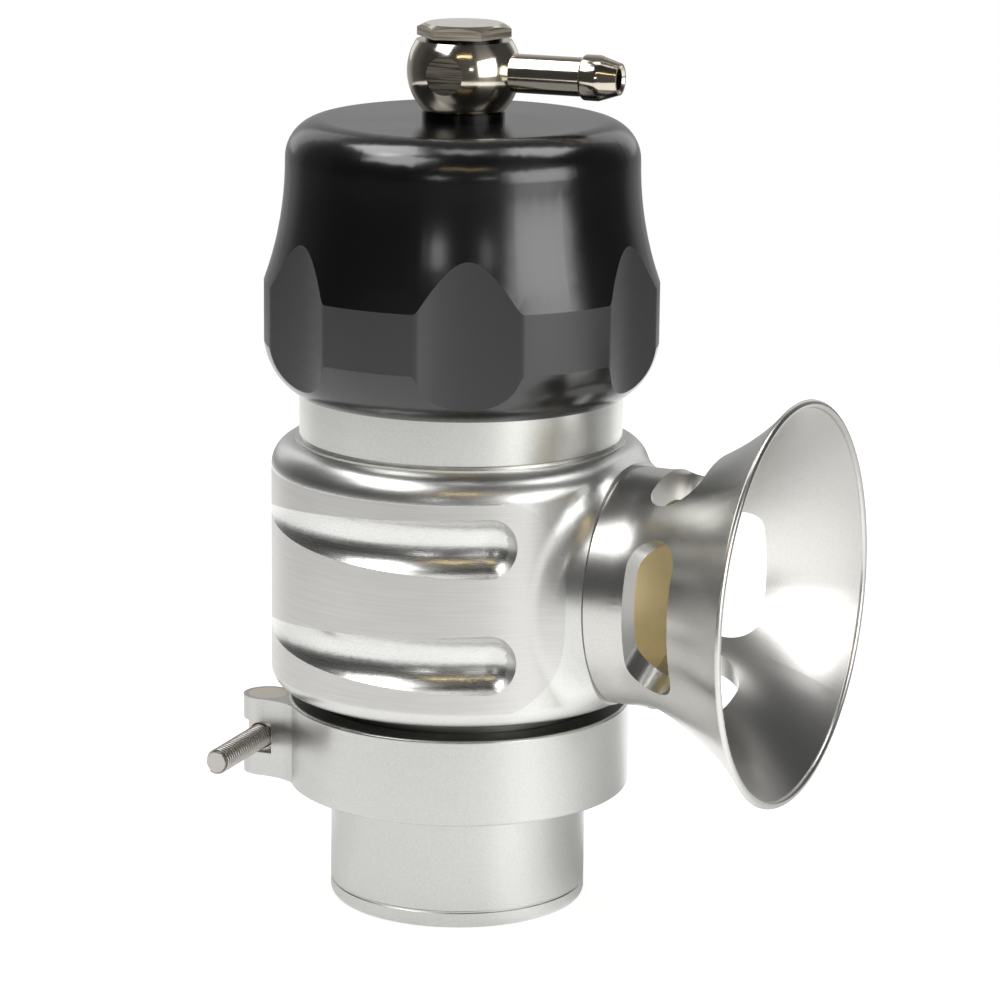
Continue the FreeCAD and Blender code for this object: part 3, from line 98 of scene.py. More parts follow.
def stretchedGrain(tree, coords, sizesMm):
    # noise whose grains have a size of their own along each axis
    mapped = addNode(tree, "ShaderNodeMapping", {"Vector": coords, "Scale": [1 / (size * mm) for size in sizesMm]})
    grain = addNode(tree, "ShaderNodeTexNoise", {"Vector": mapped.outputs["Vector"], "Scale": 1.0, "Detail": 4.0})
    return grain.outputs["Fac"]


def ringMarks(tree, coords, axis, spacingMm, wander=0.02):
    # turning marks: rings square to the axis, spacingMm apart, that fade in and out a little round the piece
    sizes = [spacingMm / wander] * 3
    sizes[axis] = spacingMm
    return stretchedGrain(tree, coords, sizes)


def varyRoughness(tree, shader, factor, settings):
    # a pattern takes the roughness from a little under its set value to a little over it
    less, more = settings["spread"]
    span = addNode(tree, "ShaderNodeMapRange", {"Value": factor, "To Min": settings["roughness"] - less,
                                                "To Max": settings["roughness"] + more})
    tree.links.new(span.outputs["Result"], shader.inputs["Roughness"])


def mixColours(tree, shader, factor, dark, light, low=0.35, high=0.65):
    # a pattern mixes two colours, all dark where it is low and all light where it is high
    spread = addNode(tree, "ShaderNodeMapRange", {"Value": factor, "From Min": low, "From Max": high})
    mixed = addNode(tree, "ShaderNodeMix", {0: spread.outputs["Result"], 6: dark, 7: light}, data_type="RGBA")
    tree.links.new(mixed.outputs[2], shader.inputs["Base Color"])
    return mixed.outputs[2]


def speckle(tree, shader, factor, settings):
    # lets a pattern darken the colour by up to the share in settings
    light = hexColour(settings["colour"])
    dark = [part * (1 - settings["speckle"]) for part in light[:3]] + [1]
    return mixColours(tree, shader, factor, dark, light)


def relief(tree, shader, height, depthMm, under=None):
    # turns a height pattern into bump, over another bump where there is one
    inputs = {"Height": height, "Distance": depthMm * mm, "Strength": 1.0}
    if under is not None:
        inputs["Normal"] = under
    bump = addNode(tree, "ShaderNodeBump", inputs)
    tree.links.new(bump.outputs["Normal"], shader.inputs["Normal"])
    return bump.outputs["Normal"]


# Helpers for pieces

meshing = {
    "mergeMm": 0.0015,       # a CAD mesh is loose triangles: corners this close are joined
    "thinMm": 0.0005,        # and triangles thinner than this are taken out
    "sharpAngle": 28,        # an edge that turns by more degrees than this stays sharp
    "areaWeight": 60,
    "roundMm": 0.004,        # a corner this close to a cylinder lies on it
}


def onRound(corners, radius):
    # whether all of a face's corners lie on an upright cylinder about the valve's axis
    return all(abs(corner.xy.length / mm - radius) < meshing["roundMm"] for corner in corners)


def openCopy(name, slots):
    # a copy of a CAD node's mesh with its triangles joined, ready to be worked on
    mesh = nodes[name].data.copy()
    for polygon in mesh.polygons:
        polygon.material_index = 0
    mesh.materials.clear()
    for material in slots:
        mesh.materials.append(material)
    work = bmesh.new()
    work.from_mesh(mesh)
    bmesh.ops.remove_doubles(work, verts=work.verts, dist=meshing["mergeMm"] * mm)
    return mesh, work


def closeCopy(name, mesh, work, sharpAngle):
    # makes it an object, smooth but for the edges where its direction or its material changes
    for face in work.faces:
        face.smooth = True
    for edge in work.edges:
        sides = edge.link_faces
        edge.smooth = len(sides) == 2 and sides[0].material_index == sides[1].material_index and \
            sides[0].normal.dot(sides[1].normal) > math.cos(math.radians(sharpAngle))
    work.to_mesh(mesh)
    work.free()
    mesh.name = name
    piece = bpy.data.objects.new(name, mesh)
    bpy.context.scene.collection.objects.link(piece)
    return piece


def dress(name, slots, pick=None, sharpAngle=meshing["sharpAngle"], shape=None, exact=None):
    # a smooth copy of a CAD node that stands for it: pick gives a face's material from its centre, normal and
    # corners, shape moves its points, and exact gives the true normal at a corner where it knows it
    mesh, work = openCopy(name, slots)
    bmesh.ops.dissolve_degenerate(work, edges=work.edges, dist=meshing["thinMm"] * mm)
    if shape is not None:
        for vertex in work.verts:
            vertex.co = shape(vertex.co)
        work.normal_update()
    if pick is not None:
        for face in work.faces:
            corners = [vertex.co for vertex in face.verts]
            face.material_index = slots.index(pick(face.calc_center_median(), face.normal, corners))
    piece = closeCopy(name + "Look", mesh, work, sharpAngle)
    weighted = piece.modifiers.new("smoothing", "WEIGHTED_NORMAL")
    weighted.keep_sharp = True
    weighted.weight = meshing["areaWeight"]
    bpy.context.view_layer.update()
    depsgraph = bpy.context.evaluated_depsgraph_get()
    smoothed = bpy.data.meshes.new_from_object(piece.evaluated_get(depsgraph))
    piece.modifiers.clear()
    piece.data = smoothed
    bpy.data.meshes.remove(mesh)
    smoothed.name = name + "Look"
    if exact is not None:
        normals = [corner.vector.copy() for corner in smoothed.corner_normals]
        for polygon in smoothed.polygons:
            corners = [smoothed.vertices[index].co for index in polygon.vertices]
            for loop, corner in zip(polygon.loop_indices, corners):
                normals[loop] = exact(corners, corner) or normals[loop]
        smoothed.normals_split_custom_set(normals)
    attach(piece, bodyOf[name])
    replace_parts(piece, name)


def finishNode(name, material):
    # gives a CAD node a material and leaves its shape alone
    node = nodes[name]
    for slot in node.material_slots:
        slot.material = material
    if not node.material_slots:
        node.data.materials.append(material)


# Aluminium. In each material's settings spread is how far a pattern takes the roughness down and up, and
# speckle is the share by which the grain darkens the colour.

satin = {
    "colour": "DBDBD8",
    "roughness": 0.33,
    "spread": (0.05, 0.1),
    "speckle": 0.09,
    "grainMm": 0.25,         # the real grain is about 0.1 mm; drawn coarser so that it shows
    "grainDepthMm": 0.009,
    "cloudMm": 9.0,
}
machinedSide = {
    "colour": "D3D2CF",
    "speckle": 0.07,
    "height": 50.73,
    "halfHeight": 15.45,
    "start": 16.5,
    "curveWidth": 8.5,
    "curveHeight": 15.8,
    "lineMm": 0.3,           # a fly cutter leaves about 0.1 mm; drawn coarser so that it shows
    "lineDepthMm": 0.004,
    "lineWander": 0.03,
    "stepMm": 0.12,
    "duller": 0.35,
}
turned = {
    "colour": "E6E6E2",
    "roughness": 0.3,
    "spread": (0.05, 0.09),
    "speckle": 0.09,
    "ringMm": 0.28,          # a finishing cut leaves about 0.1 mm; drawn coarser so that it shows
    "ringDepthMm": 0.003,
    "grainMm": 0.25,
    "grainDepthMm": 0.008,
}
flared = {**turned, "colour": "D6D5D1", "roughness": 0.28, "speckle": 0.08, "ringDepthMm": 0}
clamped = {**turned, "colour": "D0D0CD"}
polished = {**turned, "colour": "E4E4E1", "roughness": 0.25, "speckle": 0.1, "ringMm": 0.3, "grainMm": 0.22,
            "grainDepthMm": 0.006}
# the clamped joint's aluminium: its dark colour is painted shade, for the shade in the narrow gap between body and
# clamp
paintedJointShade = {**turned, "colour": "90908C", "roughness": 0.4, "speckle": 0.1, "ringMm": 0.3, "grainDepthMm": 0.004}
gold = {**turned, "colour": "F2E9CF", "roughness": 0.42, "speckle": 0.05, "ringMm": 0.3, "ringDepthMm": 0.004,
        "grainMm": 0.2, "grainDepthMm": 0.003}


def bodyAluminium(name, settings, side):
    # aluminium 6061, clear anodised: smooth satin, with an area on each side that a second cut left finely lined
    material, tree, shader, coords = newMaterial(name, settings, 1.0)
    grain = fineGrain(tree, coords, settings["grainMm"])
    cloud = fineGrain(tree, coords, settings["cloudMm"], detail=2.0)
    # the area reaches as far along X as start + curveWidth * sqrt(1 - (height / curveHeight) ** 2)
    place = addNode(tree, "ShaderNodeSeparateXYZ", {"Vector": coords}).outputs
    height = addNode(tree, "ShaderNodeMath", {0: place["Z"], 1: side["height"] * mm},
                     operation="SUBTRACT").outputs[0]
    share = addNode(tree, "ShaderNodeMath", {0: height, 1: side["curveHeight"] * mm}, operation="DIVIDE").outputs[0]
    square = addNode(tree, "ShaderNodeMath", {0: share, 1: 2.0}, operation="POWER").outputs[0]
    rest = addNode(tree, "ShaderNodeMath", {0: 1.0, 1: square}, operation="SUBTRACT", use_clamp=True).outputs[0]
    root = addNode(tree, "ShaderNodeMath", {0: rest}, operation="SQRT").outputs[0]
    edge = addNode(tree, "ShaderNodeMath", {0: root, 1: side["curveWidth"] * mm, 2: side["start"] * mm},
                   operation="MULTIPLY_ADD").outputs[0]
    within = addNode(tree, "ShaderNodeMath", {0: place["X"], 1: edge}, operation="LESS_THAN").outputs[0]
    away = addNode(tree, "ShaderNodeMath", {0: height}, operation="ABSOLUTE").outputs[0]
    between = addNode(tree, "ShaderNodeMath", {0: away, 1: side["halfHeight"] * mm},
                      operation="LESS_THAN").outputs[0]
    cut = addNode(tree, "ShaderNodeMath", {0: within, 1: between}, operation="MULTIPLY").outputs[0]
    lines = ringMarks(tree, coords, 2, side["lineMm"], side["lineWander"])
    lined = addNode(tree, "ShaderNodeMath", {0: lines, 1: cut}, operation="MULTIPLY").outputs[0]
    mixed = addNode(tree, "ShaderNodeMath", {0: grain, 1: cloud}, operation="MULTIPLY").outputs[0]
    rough = addNode(tree, "ShaderNodeMath", {0: cut, 1: side["duller"], 2: mixed},
                    operation="MULTIPLY_ADD").outputs[0]
    varyRoughness(tree, shader, rough, settings)
    satinColour = speckle(tree, shader, grain, settings)
    sideColour = speckle(tree, shader, lines, side)
    tint = addNode(tree, "ShaderNodeMix", {0: cut, 6: satinColour, 7: sideColour}, data_type="RGBA")
    tree.links.new(tint.outputs[2], shader.inputs["Base Color"])
    under = relief(tree, shader, grain, settings["grainDepthMm"])
    under = relief(tree, shader, lined, side["lineDepthMm"], under)
    relief(tree, shader, cut, side["stepMm"], under)
    return material


def turnedAluminium(name, settings, axis):
    # aluminium 6061, finely turned and anodised: satin, with faint rings left by the tool where they have a depth
    material, tree, shader, coords = newMaterial(name, settings, 1.0)
    grain = fineGrain(tree, coords, settings["grainMm"])
    speckle(tree, shader, grain, settings)
    under = relief(tree, shader, grain, settings["grainDepthMm"])
    if settings["ringDepthMm"] > 0:
        rings = ringMarks(tree, coords, axis, settings["ringMm"])
        varyRoughness(tree, shader, rings, settings)
        relief(tree, shader, rings, settings["ringDepthMm"], under)
    return material


bodySkin = bodyAluminium("satin aluminium, clear anodised", satin, machinedSide)
turnedUpright = turnedAluminium("turned aluminium, clear anodised, rings round Z", turned, 2)
flareSkin = turnedAluminium("finely turned aluminium, clear anodised", flared, 0)
flangeSkin = turnedAluminium("turned aluminium, weld flange and clamp", clamped, 2)
grooveSkin = turnedAluminium("polished aluminium, clear anodised", polished, 2)
jointShadeSkin = turnedAluminium("aluminium in the clamped joint, darkened as painted shade", paintedJointShade, 2)
goldBore = turnedAluminium("turned aluminium, gold anodised, rings round X", gold, 0)
goldUpright = turnedAluminium("turned aluminium, gold anodised, rings round Z", gold, 2)


# Black anodised aluminium, for the cap

deepBlack = {
    "colour": "060607",
    "roughness": 0.2,
    "spread": (0.04, 0.05),
    "ior": 1.77,             # the oxide's own
    "grainMm": 0.3,
    "grainDepthMm": 0.0015,
    "smearMm": 14.0,
}
milledBlack = {
    "colour": "242425",
    "roughness": 0.36,
    "spread": (0.05, 0.08),
    "ior": 1.77,
    "markMm": 0.4,
    "markDepthMm": 0.002,
    "markWander": 0.05,
}


def blackAnodised(name, settings):
    # aluminium, polished and then black anodised: deep black with a clear glassy oxide over it
    material, tree, shader, coords = newMaterial(name, settings, 0.0)
    smear = fineGrain(tree, coords, settings["smearMm"], detail=2.0)
    varyRoughness(tree, shader, smear, settings)
    relief(tree, shader, fineGrain(tree, coords, settings["grainMm"]), settings["grainDepthMm"])
    return material


def fluteBlack(name, settings):
    # the same oxide on milled flutes, which a ball cutter leaves duller
    material, tree, shader, coords = newMaterial(name, settings, 0.0)
    marks = ringMarks(tree, coords, 2, settings["markMm"], settings["markWander"])
    varyRoughness(tree, shader, marks, settings)
    relief(tree, shader, marks, settings["markDepthMm"])
    return material


capBlack = blackAnodised("black anodised aluminium", deepBlack)
capFlute = fluteBlack("black anodised aluminium, milled", milledBlack)


# Nickel plate, for the banjo and its bolt

plated = {"colour": "D8D0C0", "roughness": 0.1, "spread": (0.05, 0.1), "smearMm": 1.2, "waveDepthMm": 0.004}
brushedTop = {"colour": "F2F0EA", "dark": "D2CFC8", "roughness": 0.5, "spread": (0.08, 0.14),
              "scratchMm": [20, 0.12, 0.12], "scratchDepthMm": 0.004}
drawnSide = {"colour": "E6DECF", "dark": "B2A896", "roughness": 0.36, "spread": (0.08, 0.14),
             "scratchMm": [9, 9, 0.25], "scratchDepthMm": 0.01}
milledSide = {"colour": "B4AB9F", "dark": "6E665D", "roughness": 0.3, "spread": (0.08, 0.14),
              "scratchMm": [9, 9, 0.3], "scratchDepthMm": 0.012}


def brightNickel(name, settings):
    # brass with bright nickel plate: mirror-like and slightly warm, with a faint wave from the turning under it
    material, tree, shader, coords = newMaterial(name, settings, 1.0)
    smear = fineGrain(tree, coords, settings["smearMm"])
    varyRoughness(tree, shader, smear, settings)
    relief(tree, shader, smear, settings["waveDepthMm"])
    return material


def scratchedNickel(name, settings):
    # nickel over a flat that was milled, drawn or brushed first: long fine scratches one way, some of them dark
    material, tree, shader, coords = newMaterial(name, settings, 1.0)
    scratches = stretchedGrain(tree, coords, settings["scratchMm"])
    varyRoughness(tree, shader, scratches, settings)
    mixColours(tree, shader, scratches, hexColour(settings["dark"]), hexColour(settings["colour"]),
               low=0.38, high=0.56)
    relief(tree, shader, scratches, settings["scratchDepthMm"])
    return material


nickel = brightNickel("bright nickel plate", plated)
hexTop = scratchedNickel("brushed nickel plate", brushedTop)
hexSide = scratchedNickel("drawn nickel plate", drawnSide)
millFlat = scratchedNickel("milled nickel plate", milledSide)


# Steel, rubber and guide tape

screwSteel = {"colour": "BDBAB5", "roughness": 0.26, "spread": (0.06, 0.12), "grainMm": 0.15, "grainDepthMm": 0.004}
coilSteel = {"colour": "8B8C8E", "roughness": 0.32, "spread": (0.06, 0.12), "grainMm": 0.2, "grainDepthMm": 0.005}
rodSteel = {"colour": "E6DED2", "roughness": 0.45, "spread": (0.06, 0.12), "grainMm": 0.2, "grainDepthMm": 0.006}
darkPlate = {"colour": "2A2A2B", "roughness": 0.22, "spread": (0.06, 0.12), "grainMm": 0.2, "grainDepthMm": 0.003}
sealRubber = {"colour": "1A1A1A", "roughness": 0.55, "spread": (0.08, 0.1), "grainMm": 0.15, "grainDepthMm": 0.008}
slideTape = {"colour": "3B3633", "roughness": 0.6, "spread": (0.08, 0.1), "grainMm": 0.3, "grainDepthMm": 0.01}


def plainSteel(name, settings):
    # stainless, spring or plated steel, drawn or turned: greyer than aluminium, with a fine grain
    material, tree, shader, coords = newMaterial(name, settings, 1.0)
    grain = fineGrain(tree, coords, settings["grainMm"], detail=4.0)
    varyRoughness(tree, shader, grain, settings)
    relief(tree, shader, grain, settings["grainDepthMm"])
    return material


def mouldedRubber(name, settings):
    # moulded nitrile or filled guide tape: matt, with a fine even grain
    material, tree, shader, coords = newMaterial(name, settings, 0.0)
    grain = fineGrain(tree, coords, settings["grainMm"])
    varyRoughness(tree, shader, grain, settings)
    relief(tree, shader, grain, settings["grainDepthMm"])
    return material


stainless = plainSteel("stainless steel", screwSteel)
springSteel = plainSteel("spring steel", coilSteel)
barrelSteel = plainSteel("bright steel, turned", rodSteel)
blackWasher = plainSteel("black nickel washer", darkPlate)
rubber = mouldedRubber("nitrile rubber", sealRubber)
guideTape = mouldedRubber("filled guide tape", slideTape)
print("materials ready")


# Valve body: satin outside, turned neck, polished finger grooves, gold inside

body = {
    "axisHeight": 50.73,     # of the outlet's axis
    "radius": 27.94,
    "neckRadius": 23.82,
    "neckFoot": 70.0,
    "underside": 32.85,
    "boreReach": 18.4,       # each reach is just past the surface that it picks
    "outletFrom": 10.0,
    "outletReach": 13.1,
    "spigotFace": 27.42,
    "spigotReach": 15.3,
    "grooveFloor": 24.0,
    "grooveFoot": 36.0,
    "grooveTop": 66.2,
    "grooveEnd": 17.0,
    "rounds": [(23.84, 65.9, 4.1), (25.1, 35.64, 2.84)],     # shoulder and foot: ring, height and radius
    "roundSlack": 0.03,
}


def bodyFace(centre, normal, corners):
    x, y, z = (value / mm for value in centre)
    fromAxis = math.hypot(x, y)
    fromOutlet = math.hypot(y, z - body["axisHeight"])
    if fromAxis < body["boreReach"]:
        return goldUpright
    if x > body["outletFrom"] and fromOutlet < body["outletReach"]:
        return goldBore
    if x > body["spigotFace"] and fromOutlet < body["spigotReach"]:
        return goldBore
    # the underside sits in the clamp's gap and takes the joint's painted shade
    if z < body["underside"]:
        return jointShadeSkin
    if z > body["neckFoot"]:
        return turnedUpright
    beside = body["grooveFloor"] < fromAxis < body["radius"] and body["grooveFoot"] < z < body["grooveTop"]
    if beside and x < body["grooveEnd"] and not onRound(corners, body["radius"]):
        return grooveSkin
    return bodySkin


def onTube(corners, ring, height, tube):
    # whether all of a face's corners lie on the outer side of a round that runs about the valve's axis
    return all(abs(math.hypot(corner.xy.length / mm - ring, corner.z / mm - height) - tube) < body["roundSlack"]
               and corner.xy.length / mm > ring for corner in corners)


def bodyNormal(corners, corner):
    outward = Vector((corner.x, corner.y, 0)).normalized()
    if onRound(corners, body["radius"]) or onRound(corners, body["neckRadius"]):
        return outward
    for ring, height, tube in body["rounds"]:
        if onTube(corners, ring, height, tube):
            return (corner - outward * ring * mm - Vector((0, 0, height * mm))).normalized()
    return None


dress("valve_body", [bodySkin, turnedUpright, goldBore, goldUpright, grooveSkin, jointShadeSkin], bodyFace,
      exact=bodyNormal)
print("valve body dressed")


# Trumpet, weld flange and clamp

lip = {"axisHeight": 50.73, "foot": 52.885, "radius": 28.965}
clamp = {"jointReach": 24.9, "jointTilt": 0.3}


def lipNormal(corners, corner):
    # the trumpet's lip is half a torus about its own axis
    if min(place.x for place in corners) < lip["foot"] * mm:
        return None
    across = Vector((0, corner.y, corner.z - lip["axisHeight"] * mm)).normalized() * lip["radius"] * mm
    return (corner - across - Vector((lip["foot"] * mm, 0, lip["axisHeight"] * mm))).normalized()


def clampFace(centre, normal, corners):
    # the faces within the outer rim that don't stand upright are in the joint, and take its painted shade
    inJoint = centre.xy.length / mm < clamp["jointReach"] and abs(normal.z) > clamp["jointTilt"]
    return jointShadeSkin if inJoint else flangeSkin


dress("trumpet", [flareSkin], exact=lipNormal)
dress("weld_flange", [flangeSkin])
dress("clamp_ring", [flangeSkin, jointShadeSkin], clampFace)
dress("clamp_barrel_nut", [barrelSteel])
dress("clamp_barrel_washer", [barrelSteel])
print("trumpet, flange and clamp dressed")


# Clamp screw: its core is the CAD node's, and Geometry Nodes make its thread and the knurling of its head

screw = {
    "azimuth": 183.1,
    "reach": 26.86,
    "height": 24.25,
    "pitch": 0.7,
    "threadRadius": 1.97,
    "threadDepth": 0.42,
    "threadFrom": -11.7,
    "threadTo": 27.4,
    "threadSteps": 28,       # points in each turn
    "headRadius": 3.4,
    "headFrom": -15.6,
    "headTo": -12.3,
    "headGap": 0.1,          # points this far behind the thread are the head's
    "ridges": 40,
    "ridgeSides": 6,
    "ridgeDepth": 0.16,
    "ridgeSink": 0.7,        # the head is drawn in by this share of a ridge's depth
}
screwTurn = math.radians(screw["azimuth"])
screwAway = Vector((math.cos(screwTurn), math.sin(screwTurn), 0)) * screw["reach"] * mm
screwPlace = Matrix.Translation(screwAway + Vector((0, 0, screw["height"] * mm)))
screwToWorld = screwPlace @ Matrix.Rotation(screwTurn, 4, "Z") @ Matrix.Rotation(math.radians(-90), 4, "X")
worldToScrew = screwToWorld.inverted()


def screwShape(point):
    # draws the shank in to the thread's root, and the head in to the knurling's
    local = worldToScrew @ point
    reach = local.xy.length / mm
    if reach < 1e-6:
        return point
    most = screw["threadRadius"] - screw["threadDepth"]
    if local.z / mm < screw["threadFrom"] - screw["headGap"]:
        most = screw["headRadius"] - screw["ridgeDepth"] * screw["ridgeSink"]
    scale = min(1.0, most / reach)
    return screwToWorld @ Vector((local.x * scale, local.y * scale, local.z))


def nodeGroup(name, sizes):
    # an empty Geometry Nodes tree with one named input for each size
    tree = bpy.data.node_groups.new(name, "GeometryNodeTree")
    for size in sizes:
        tree.interface.new_socket(size, in_out="INPUT", socket_type="NodeSocketFloat")
    tree.interface.new_socket("Geometry", in_out="OUTPUT", socket_type="NodeSocketGeometry")
    return tree, addNode(tree, "NodeGroupInput").outputs


def finishTree(tree, geometry, material):
    # ends a tree with real geometry that has its material
    realised = addNode(tree, "GeometryNodeRealizeInstances", {"Geometry": geometry})
    finished = addNode(tree, "GeometryNodeSetMaterial",
                       {"Geometry": realised.outputs["Geometry"], "Material": material})
    addNode(tree, "NodeGroupOutput", {"Geometry": finished.outputs["Geometry"]})


def threadTree(material):
    # a triangular ridge swept along a helix
    tree, sizes = nodeGroup("screw thread", ["Length", "Pitch", "Radius", "Depth"])
    turns = addNode(tree, "ShaderNodeMath", {0: sizes["Length"], 1: sizes["Pitch"]}, operation="DIVIDE").outputs[0]
    # an even triangle is 1.5 times as deep as the radius of the circle round it
    ridge = addNode(tree, "ShaderNodeMath", {0: sizes["Depth"], 1: 1.5}, operation="DIVIDE").outputs[0]
    path = addNode(tree, "ShaderNodeMath", {0: sizes["Radius"], 1: ridge}, operation="SUBTRACT").outputs[0]
    helix = addNode(tree, "GeometryNodeCurveSpiral",
                    {"Resolution": screw["threadSteps"], "Rotations": turns, "Start Radius": path,
                     "End Radius": path, "Height": sizes["Length"]})
    upright = addNode(tree, "GeometryNodeSetCurveNormal", {"Curve": helix.outputs["Curve"]}, mode="Z_UP")
    triangle = addNode(tree, "GeometryNodeCurvePrimitiveCircle", {"Resolution": 3, "Radius": ridge})
    swept = addNode(tree, "GeometryNodeCurveToMesh",
                    {"Curve": upright.outputs["Curve"], "Profile Curve": triangle.outputs["Curve"],
                     "Fill Caps": True})
    finishTree(tree, swept.outputs["Mesh"], material)
    return tree


def knurlTree(material):
    # small six-sided bars stood round the head
    tree, sizes = nodeGroup("knurled head", ["Ridges", "Length", "Radius", "Depth"])
    path = addNode(tree, "ShaderNodeMath", {0: sizes["Radius"], 1: sizes["Depth"]}, operation="SUBTRACT").outputs[0]
    circle = addNode(tree, "GeometryNodeCurvePrimitiveCircle", {"Resolution": sizes["Ridges"], "Radius": path})
    points = addNode(tree, "GeometryNodeCurveToPoints", {"Curve": circle.outputs["Curve"]}, mode="EVALUATED")
    bar = addNode(tree, "GeometryNodeMeshCylinder",
                  {"Vertices": screw["ridgeSides"], "Radius": sizes["Depth"], "Depth": sizes["Length"]})
    stood = addNode(tree, "GeometryNodeInstanceOnPoints",
                    {"Points": points.outputs["Points"], "Instance": bar.outputs["Mesh"]})
    finishTree(tree, stood.outputs["Instances"], material)
    return tree


def bake(name, tree, sizes, place):
    # runs the tree once and keeps its result as a plain mesh, placed in its own points
    holder = bpy.data.objects.new(name + "Maker", bpy.data.meshes.new(name + "Maker"))
    bpy.context.scene.collection.objects.link(holder)
    modifier = holder.modifiers.new("nodes", "NODES")
    modifier.node_group = tree
    for item in tree.interface.items_tree:
        if item.in_out == "INPUT":
            modifier[item.identifier] = sizes[item.name]
    bpy.context.view_layer.update()
    depsgraph = bpy.context.evaluated_depsgraph_get()
    mesh = bpy.data.meshes.new_from_object(holder.evaluated_get(depsgraph))
    bpy.data.objects.remove(holder)
    mesh.name = name
    mesh.transform(place)
    piece = bpy.data.objects.new(name, mesh)
    bpy.context.scene.collection.objects.link(piece)
    print(name, len(mesh.polygons), "faces")
    return piece


def makeScrew():
    dress("clamp_screw", [stainless], shape=screwShape)
    threadSizes = {
        "Length": (screw["threadTo"] - screw["threadFrom"]) * mm,
        "Pitch": screw["pitch"] * mm,
        "Radius": screw["threadRadius"] * mm,
        "Depth": screw["threadDepth"] * mm,
    }
    threadPlace = screwToWorld @ Matrix.Translation((0, 0, screw["threadFrom"] * mm))
    knurlSizes = {
        "Ridges": float(screw["ridges"]),
        "Length": (screw["headTo"] - screw["headFrom"]) * mm,
        "Radius": screw["headRadius"] * mm,
        "Depth": screw["ridgeDepth"] * mm,
    }
    knurlPlace = screwToWorld @ Matrix.Translation((0, 0, (screw["headTo"] + screw["headFrom"]) / 2 * mm))
    thread = bake("clampScrewThread", threadTree(stainless), threadSizes, threadPlace)
    knurl = bake("clampScrewKnurl", knurlTree(stainless), knurlSizes, knurlPlace)
    for piece in (thread, knurl):
        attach(piece, bodyOf["clamp_screw"])


makeScrew()
print("clamp screw made")


# Cap: polished black, with duller milled flutes

cap = {
    "sharpAngle": 11,        # so that the flutes' edges stay crisp
    "fluteTilt": 0.004,      # a milled face's normal has hardly any height, a turned one's has it nearly everywhere
    "fluteTop": 103.0,
    "innerReach": 24.95,
    "landReach": 28.93,
    "landFoot": 83.4,
    "landTop": 94.7,
}


def capFace(centre, normal, corners):
    x, y, z = (value / mm for value in centre)
    fromAxis = math.hypot(x, y)
    if abs(normal.z) > cap["fluteTilt"] or fromAxis < cap["innerReach"] or z > cap["fluteTop"]:
        return capBlack
    if fromAxis > cap["landReach"]:
        return capFlute if cap["landFoot"] < z < cap["landTop"] else capBlack
    return capFlute


dress("cap", [capBlack, capFlute], capFace, sharpAngle=cap["sharpAngle"])
print("cap dressed")


# Banjo and its bolt

bolt = {"headFoot": 129.0, "topTilt": 0.98, "sideTilt": 0.02}
banjo = {"azimuth": 4.0, "flatReach": 7.73, "flatFacing": 0.995}


def boltFace(centre, normal, corners):
    # the head's top, then its six sides
    if normal.z > bolt["topTilt"]:
        return hexTop
    return hexSide if centre.z / mm > bolt["headFoot"] and abs(normal.z) < bolt["sideTilt"] else nickel


def banjoFace(centre, normal, corners):
    # the milled flat faces square across the barb, on the camera's side
    turn = math.radians(banjo["azimuth"] - 90)
    facing = normal.x * math.cos(turn) + normal.y * math.sin(turn)
    reach = (centre.x * math.cos(turn) + centre.y * math.sin(turn)) / mm
    return millFlat if facing > banjo["flatFacing"] and reach > banjo["flatReach"] else nickel


dress("banjo_fitting", [nickel, millFlat], banjoFace)
dress("banjo_bolt", [nickel, hexTop, hexSide], boltFace)
dress("banjo_lower_washer", [blackWasher])
dress("banjo_upper_washer", [blackWasher])
print("banjo dressed")


# Spring: cut in two at its middle

spring = {"foot": 36.15, "top": 108.0, "pistonStroke": 18.0, "capTravel": 6.0}


def springHalf(name, side):
    # side is 1 for the half above the middle and -1 for the one below it
    middle = (spring["foot"] + spring["top"]) / 2
    mesh, work = openCopy("spring", [springSteel])
    cut = bmesh.ops.bisect_plane(work, geom=work.verts[:] + work.edges[:] + work.faces[:],
                                 plane_co=(0, 0, middle * mm), plane_no=(0, 0, -side), clear_outer=True)
    bmesh.ops.holes_fill(work, edges=[part for part in cut["geom_cut"] if isinstance(part, bmesh.types.BMEdge)])
    for face in work.faces:
        face.material_index = 0
    piece = closeCopy(name, mesh, work, meshing["sharpAngle"])
    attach(piece, bodyOf["spring"])
    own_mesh(piece)
    return piece


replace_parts(springHalf("springLower", -1), "spring")
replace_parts(springHalf("springUpper", 1), "spring")
print("spring made")


# Inside pieces keep their CAD shape

finishNode("piston", goldUpright)
finishNode("spring_thrust_washer", stainless)
for name in ("flange_o_ring", "outlet_o_ring", "cap_o_ring", "piston_face_seal", "piston_lip_seal"):
    finishNode(name, rubber)
for name in ("piston_lower_guide_band", "piston_upper_guide_band"):
    finishNode(name, guideTape)
print("inside pieces finished")


# The camera, fitted to the photograph

view = {
    "azimuth": 25.432,
    "elevation": 13.295,
    "distance": 0.621104,
    "aimHeight": 0.060405,
    "roll": 0.479,
    "yaw": 0.542,
    "lens": 151.084,
    "sensor": 36.0,
    "clipStart": 0.01,
}


